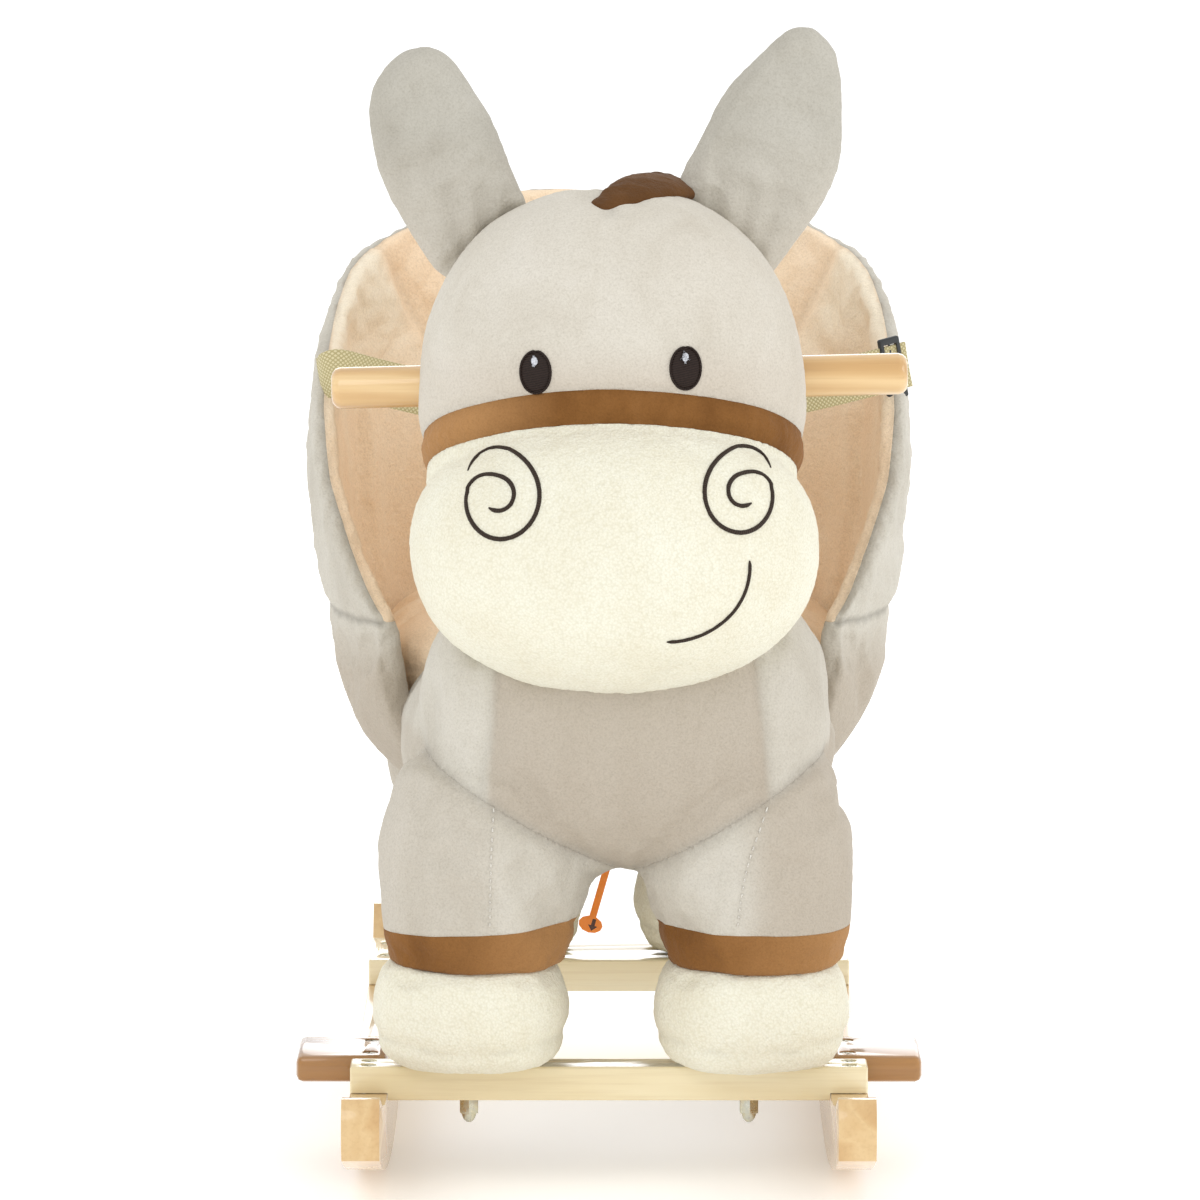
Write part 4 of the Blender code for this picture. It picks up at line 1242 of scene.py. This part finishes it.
def tail():
    """A plaited cord with a brown tuft."""
    low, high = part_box("tail")
    x, y = 0.0, (low[1] + high[1]) / 2
    root = node_copy("tail", "tail_form")
    root = merged("tail_cord", [root], 0.0025, 2)
    points = points_of(root)
    narrow = np.clip((points[:, 2] - low[2] - 0.045) / 0.02, 0, 1)
    points[:, 0] = x + (points[:, 0] - x) * (0.5 + 0.5 * narrow)
    points[:, 1] = y + (points[:, 1] - y) * (0.5 + 0.5 * narrow)
    twist = 0.0012 * np.sin(points[:, 2] * 520 + np.arctan2(points[:, 1] - y, points[:, 0] - x) * 3)
    set_points(root, points)
    push(root, twist)
    dress(root, "gray", nodes=["tail"])
    for index in range(18):
        turn = index * 2.4
        out = 0.0045 + 0.0006 * (index % 5)
        foot = Vector((x + out * math.cos(turn), y + out * math.sin(turn), low[2] + 0.052))
        tip_z = low[2] + 0.004 + 0.001 * (index % 4)
        tip = Vector((x + 0.010 * math.cos(turn), y + 0.008 * math.sin(turn), tip_z))
        middle = (foot + tip) / 2 + Vector((0.006 * math.cos(turn), 0.005 * math.sin(turn), 0.004))
        strand = lock(f"tail_lock_{index}", [foot, middle, tip], 0.007, 0.0045)
        dress(strand, "brown")


# ---------------------------------------------------------------- seat

RIM_HEIGHTS = [(0, 0.5005), (30, 0.4975), (42, 0.4835), (56, 0.4745), (72, 0.4640), (92, 0.4260),
               (103, 0.3960), (112, 0.3620), (122, 0.3290), (132, 0.2900)]
SEAT_Y = 0.070
SEAT_POWER = 2.8
SEAT_SPAN = 132
SEAM_INSET = 0.0062


def between(table, x):
    """A value read from a short table of (x, value)."""
    return np.interp(x, [row[0] for row in table], [row[1] for row in table])


def tub_half_width(z):
    """Half the tub's width at a height: widest at the wings' middle."""
    return between([(0.197, 0.1130), (0.212, 0.1265), (0.2320, 0.1385), (0.2500, 0.1455), (0.2860, 0.1545),
                    (0.3040, 0.1595), (0.3260, 0.1625), (0.3600, 0.1653), (0.3950, 0.1638), (0.4200, 0.1602),
                    (0.4450, 0.1575), (0.4690, 0.1540), (0.5005, 0.1520)], z)


def tub_depth(z):
    """From the tub's middle to its back at a height, as the back leans."""
    return between([(0.197, 0.1240), (0.2245, 0.1500), (0.5005, 0.1678)], z)


def rim_height(angle):
    """Top edge of the tub: level over the back, then falling along the wings to the seat front."""
    return between(RIM_HEIGHTS, abs(angle))


def tub_point(angle, z, inset):
    """A point of the tub's wall, this far inside its outer face and this many degrees round."""
    turn = math.radians(angle)
    power = 2 / SEAT_POWER
    x = (tub_half_width(z) - inset) * math.copysign(abs(math.sin(turn)) ** power, math.sin(turn))
    y = (tub_depth(z) - inset) * math.copysign(abs(math.cos(turn)) ** power, math.cos(turn))
    return (x, SEAT_Y + y, z)


def inward(points):
    """How far points lie inside the tub's outer face."""
    wide, deep = tub_half_width(points[:, 2]), tub_depth(points[:, 2])
    share = (np.abs(points[:, 0]) / wide) ** SEAT_POWER + (np.abs(points[:, 1] - SEAT_Y) / deep) ** SEAT_POWER
    return (1 - share ** (1 / SEAT_POWER)) * 0.158


def tub_blank():
    """The whole upholstered wall, cover to cover."""
    bm = bmesh.new()
    rows, loops, rim_wall = 16, [], 0.0125
    for angle in np.linspace(-SEAT_SPAN, SEAT_SPAN, 89):
        top = float(rim_height(angle))
        wall = float(between([(0, 0.0365), (36, 0.0365), (60, 0.0225), (180, 0.0225)], abs(angle)))
        loop = []
        for row in range(rows + 1):
            z = 0.199 + (top - 0.199) * row / rows
            loop.append(bm.verts.new(tub_point(angle, z, 0.0)))
        for row in range(rows, -1, -1):
            z = 0.199 + (top - 0.199) * row / rows
            swell = min(1.0, (top - z) / 0.10) ** 0.75
            loop.append(bm.verts.new(tub_point(angle, z, rim_wall + (wall - rim_wall) * swell)))
        loops.append(loop)
    count = len(loops[0])
    for left, right in zip(loops, loops[1:]):
        for index in range(count):
            after = (index + 1) % count
            bm.faces.new((left[index], right[index], right[after], left[after]))
    for loop in (loops[0], loops[-1][::-1]):
        for index in range(rows):
            bm.faces.new((loop[index], loop[index + 1], loop[count - 2 - index], loop[count - 1 - index]))
    bmesh.ops.recalc_face_normals(bm, faces=bm.faces)
    return from_bmesh("tub", bm)


def seat():
    """The upholstered tub: gray cover outside, peach inside, joined by a seam along its rim."""
    blank = merged("tub", [tub_blank()], 0.0038, 9)
    points = points_of(blank)
    depth = inward(points)
    angle = np.abs(np.degrees(np.arctan2(points[:, 0], points[:, 1] - SEAT_Y)))
    outside = depth < SEAM_INSET
    high = points[:, 2] > 0.292
    rim = groove(depth - SEAM_INSET, 0.0040) * high
    level = groove(points[:, 2] - 0.2865, 0.0034) * outside
    side = groove(angle - 64, 1.4) * outside * 0.8
    fold_at = 33 + 20 * np.clip((points[:, 2] - 0.36) / 0.12, 0, 1)
    fold = groove(angle - fold_at, 1.8) * (~outside)
    gather = np.zeros(len(points))
    flat = np.hstack((np.abs(points[:, [0]]), points[:, [2]]))
    for spread in (-1, 0, 1):
        route = [(0.1290, 0.2865), (0.1270 + 0.010 * spread, 0.262)]
        pleat = groove(away_from(flat, route), 0.0030)
        gather = np.maximum(gather, pleat * (points[:, 1] < -0.01))
    pins = np.minimum(1, np.maximum.reduce([rim, level, side, fold]))
    blow_up(blank, pins, 1.7, 0.0045, 0.03)
    push(blank, -0.0015 * rim - 0.0020 * level - 0.0012 * side - 0.0034 * fold - 0.0022 * gather)
    # Painted shade: darker along the seams and the lining's fold, through the crease mark.
    creases = [level ** 5 * 0.8, side ** 5 * 0.6, fold ** 4 * 0.25, rim ** 6 * 0.5]
    mark(blank, "crease", np.maximum.reduce(creases))
    # Painted light, partly nap: the lining's upper wings turn a paler cream. Below 0.285 m both covers move
    # towards their shade colour, darker gray on the shell and paler on the lining.
    wing = np.clip((angle - fold_at) / 6, 0, 1) * np.clip((points[:, 2] - 0.38) / 0.06, 0, 1)
    under = np.clip((0.285 - points[:, 2]) / 0.03, 0, 1) * 0.65
    mark(blank, "tone", np.where(outside | (points[:, 2] < 0.285), under, wing * 0.9))
    refine(blank)
    rub(blank, 0.0016, 0.034, 21.0)
    rub(blank, 0.0003, 0.0045, 22.0)

    def field(p):
        depth_here = float(inward(np.array([[p.x, p.y, p.z]]))[0])
        low_front = min(0.2870 - p.z, -0.004 - p.y)
        return max(SEAM_INSET - depth_here, low_front, 0.215 - p.z)
    lining, shell = divide(blank, field, "lining_cover", "shell_cover", 0.003, 0.0025)
    dress(shell, "gray", nodes=["seat_shell"])
    dress(lining, "peach", nodes=["seat_lining"])
    seat_pad()


def seat_pad():
    """The loose seat cushion, narrower towards the front."""
    form = ball("pad", (0.0, 0.0665, 0.2560), (0.1290, 0.1140, 0.0300), 3.6, 40)
    pad = merged("seat_cushion_cover", [form], 0.0045, 4)
    points = points_of(pad)
    points[:, 0] *= 1 - 0.13 * np.clip((0.03 - points[:, 1]) / 0.07, 0, 1)
    set_points(pad, points)
    welt = groove(points[:, 2] - 0.2580, 0.004)
    blow_up(pad, welt, 3.0, 0.004, 0.03)
    push(pad, -0.0015 * welt)
    # Painted shade: darker along the welt seam, through the crease mark.
    mark(pad, "crease", welt ** 5 * 0.5)
    refine(pad)
    rub(pad, 0.0016, 0.028, 41.0)
    dress(pad, "peach", nodes=["seat_cushion"])


# ---------------------------------------------------------------- belt

def strap(name, route, wide, thick, node, body="root"):
    """Flat webbing on edge, with its length and width in metres in its UV map."""
    places = smooth_route(route, 60)
    bm = bmesh.new()
    uv = bm.loops.layers.uv.new("UVMap")
    rows, lengths, length = [], [], 0.0
    columns = 6
    for index, place in enumerate(places):
        tangent = (places[min(index + 1, 59)] - places[max(index - 1, 0)]).normalized()
        side = tangent.cross(Vector((0, 0, 1))).normalized()
        across = side.cross(tangent).normalized()
        if index:
            length += (place - places[index - 1]).length
        lengths.append(length)
        row = []
        for column in range(columns + 1):
            v = column / columns - 0.5
            cup = 0.0006 * (4 * v * v - 1)
            row.append(bm.verts.new(place + across * (v * wide) + side * cup))
        rows.append(row)
    for index in range(59):
        for column in range(columns):
            face = bm.faces.new((rows[index][column], rows[index][column + 1],
                                 rows[index + 1][column + 1], rows[index + 1][column]))
            corners = ((index, column), (index, column + 1), (index + 1, column + 1), (index + 1, column))
            for loop, (row, col) in zip(face.loops, corners):
                loop[uv].uv = (lengths[row], col / columns * wide)
    obj = from_bmesh(name, bm)
    solid = obj.modifiers.new("thickness", "SOLIDIFY")
    solid.thickness = thick
    solid.offset = 0.0
    edge = obj.modifiers.new("edge", "BEVEL")
    edge.width = thick * 0.3
    edge.segments = 2
    edge.limit_method = "ANGLE"
    apply_modifiers(obj)
    bm = bmesh.new()
    bm.from_mesh(obj.data)
    bmesh.ops.recalc_face_normals(bm, faces=bm.faces)
    bm.to_mesh(obj.data)
    bm.free()
    return dress(obj, "web", body, nodes=[node], angle=40)


def belt_route(sign, start):
    """From the buckle out and up to the wing's rim, as the frame's own webbing runs."""
    points = []
    for step in range(9):
        share = step / 8
        points.append(Vector((sign * (start + (0.1630 - start) * share), -0.010 + 0.043 * share ** 1.6,
                              0.395 + 0.024 * share ** 1.3)))
    return points


def belt():
    """Both halves of the lap strap with the slider and the buckle."""
    wide = 0.025
    route = belt_route(-1, 0.0240)[:8]
    route += [route[-1] + Vector((-0.0080, 0.0055, -0.0024)), route[-1] + Vector((-0.0110, 0.0105, -0.0052))]
    strap("lap_strap_right", route, wide, 0.0016, "belt_right")
    left = strap("lap_strap_left", belt_route(1, 0.0205), wide, 0.0016, "belt_left", None)
    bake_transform(left)
    slider()
    buckle()


def slider():
    """Slider on the strap's last stretch: a frame, and a thin middle bar that the webbing covers."""
    low, high = (Vector(c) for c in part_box("tri_glide"))
    route = belt_route(1, 0.0235)
    along = (route[-1] - route[-2]).normalized()
    middle = (low + high) / 2
    normal = along.cross(Vector((0, 0, 1))).normalized()
    up = normal.cross(along).normalized()
    deselect()
    bpy.ops.mesh.primitive_cube_add(size=1.0)
    frame_piece = bpy.context.object
    frame_piece.scale = (0.0125, 0.0340, 0.0036)
    bpy.ops.object.transform_apply(location=True, rotation=True, scale=True)
    round_off = frame_piece.modifiers.new("round", "BEVEL")
    round_off.width = 0.0012
    round_off.segments = 3
    apply_modifiers(frame_piece)
    for x, z in ((-0.0022, 0.0), (0.0022, 0.0), (0.0, 0.0106), (0.0, -0.0106)):
        deselect()
        bpy.ops.mesh.primitive_cube_add(size=1.0, location=(x, 0, z))
        window = bpy.context.object
        window.scale = (0.0035, 0.0270, 0.02)
        bpy.ops.object.transform_apply(location=True, rotation=True, scale=True)
        cut = frame_piece.modifiers.new("window", "BOOLEAN")
        cut.operation = "DIFFERENCE"
        cut.object = window
        cut.solver = "EXACT"
        apply_modifiers(frame_piece)
        bpy.data.objects.remove(window, do_unlink=True)
    place = Matrix((along, up, normal)).transposed().to_4x4()
    points = points_of(frame_piece)
    placed = [tuple(place @ Vector(p) + middle) for p in points]
    set_points(frame_piece, np.array(placed))
    frame_piece.name = "strap_slider"
    dress(frame_piece, "black", "tri_glide", nodes=["tri_glide"], angle=35)


def buckle():
    """Side-release buckle: the socket and plug with rounded backs."""
    socket = eased("buckle_socket", "buckle_body", 0.0016, 3)
    dress(socket, "black", nodes=["buckle_socket"], angle=35)
    plug = eased("buckle_plug", "buckle_tongue", 0.0010, 3)
    dress(plug, "black", "buckle_plug", nodes=["buckle_plug"], angle=35)


# ---------------------------------------------------------------- sound unit

def sound_unit():
    """The case, its door, its battery and its button, with the pull strip that hangs out."""
    for node, finish, body_name in (("sound_module", "black", "root"),
                                    ("battery_door", "black", "battery_door"),
                                    ("battery", "nickel", "root"),
                                    ("sound_button", "black", "sound_button")):
        dress(eased(node, node + "_case", 0.0005), finish, body_name, nodes=[node], angle=35)
    tab = eased("pull_tab", "pull_strip", 0.00012, 1)
    dress(tab, "orange", "pull_tab", nodes=["pull_tab"], angle=40)
    arrow()


TAB_TILT = 16                     # degrees that the pull strip hangs aslant


def arrow():
    """A plain printed arrow that points the way the strip pulls."""
    low, high = (Vector(c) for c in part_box("pull_tab"))
    tilt = math.radians(TAB_TILT)
    down = Vector((-math.sin(tilt), 0, -math.cos(tilt)))
    across = Vector((math.cos(tilt), 0, -math.sin(tilt)))
    tip = Vector((low.x + 0.0066, low.y - 0.00006, low.z + 0.0012))
    outline = [(0.0, 0.0), (0.0026, -0.0030), (0.0010, -0.0030), (0.0010, -0.0066),
               (-0.0010, -0.0066), (-0.0010, -0.0030), (-0.0026, -0.0030)]
    bm = bmesh.new()
    face = bm.faces.new([bm.verts.new(tip + across * x + down * y) for x, y in outline])
    made = bmesh.ops.extrude_face_region(bm, geom=[face])["geom"]
    raised = [g for g in made if isinstance(g, bmesh.types.BMVert)]
    bmesh.ops.translate(bm, vec=(0, -0.00012, 0), verts=raised)
    bmesh.ops.recalc_face_normals(bm, faces=bm.faces)
    dress(from_bmesh("strip_arrow", bm), "ink", "pull_tab", angle=30)


# ---------------------------------------------------------------- assembly

FINISH = finishes()
camera()
studio()
base()
screws()
domed_nuts()
inner_frame()
body()
hooves()
head()
for ear_side, _ in SIDES:
    ear(ear_side)
mane()
tail()
seat()
belt()
sound_unit()
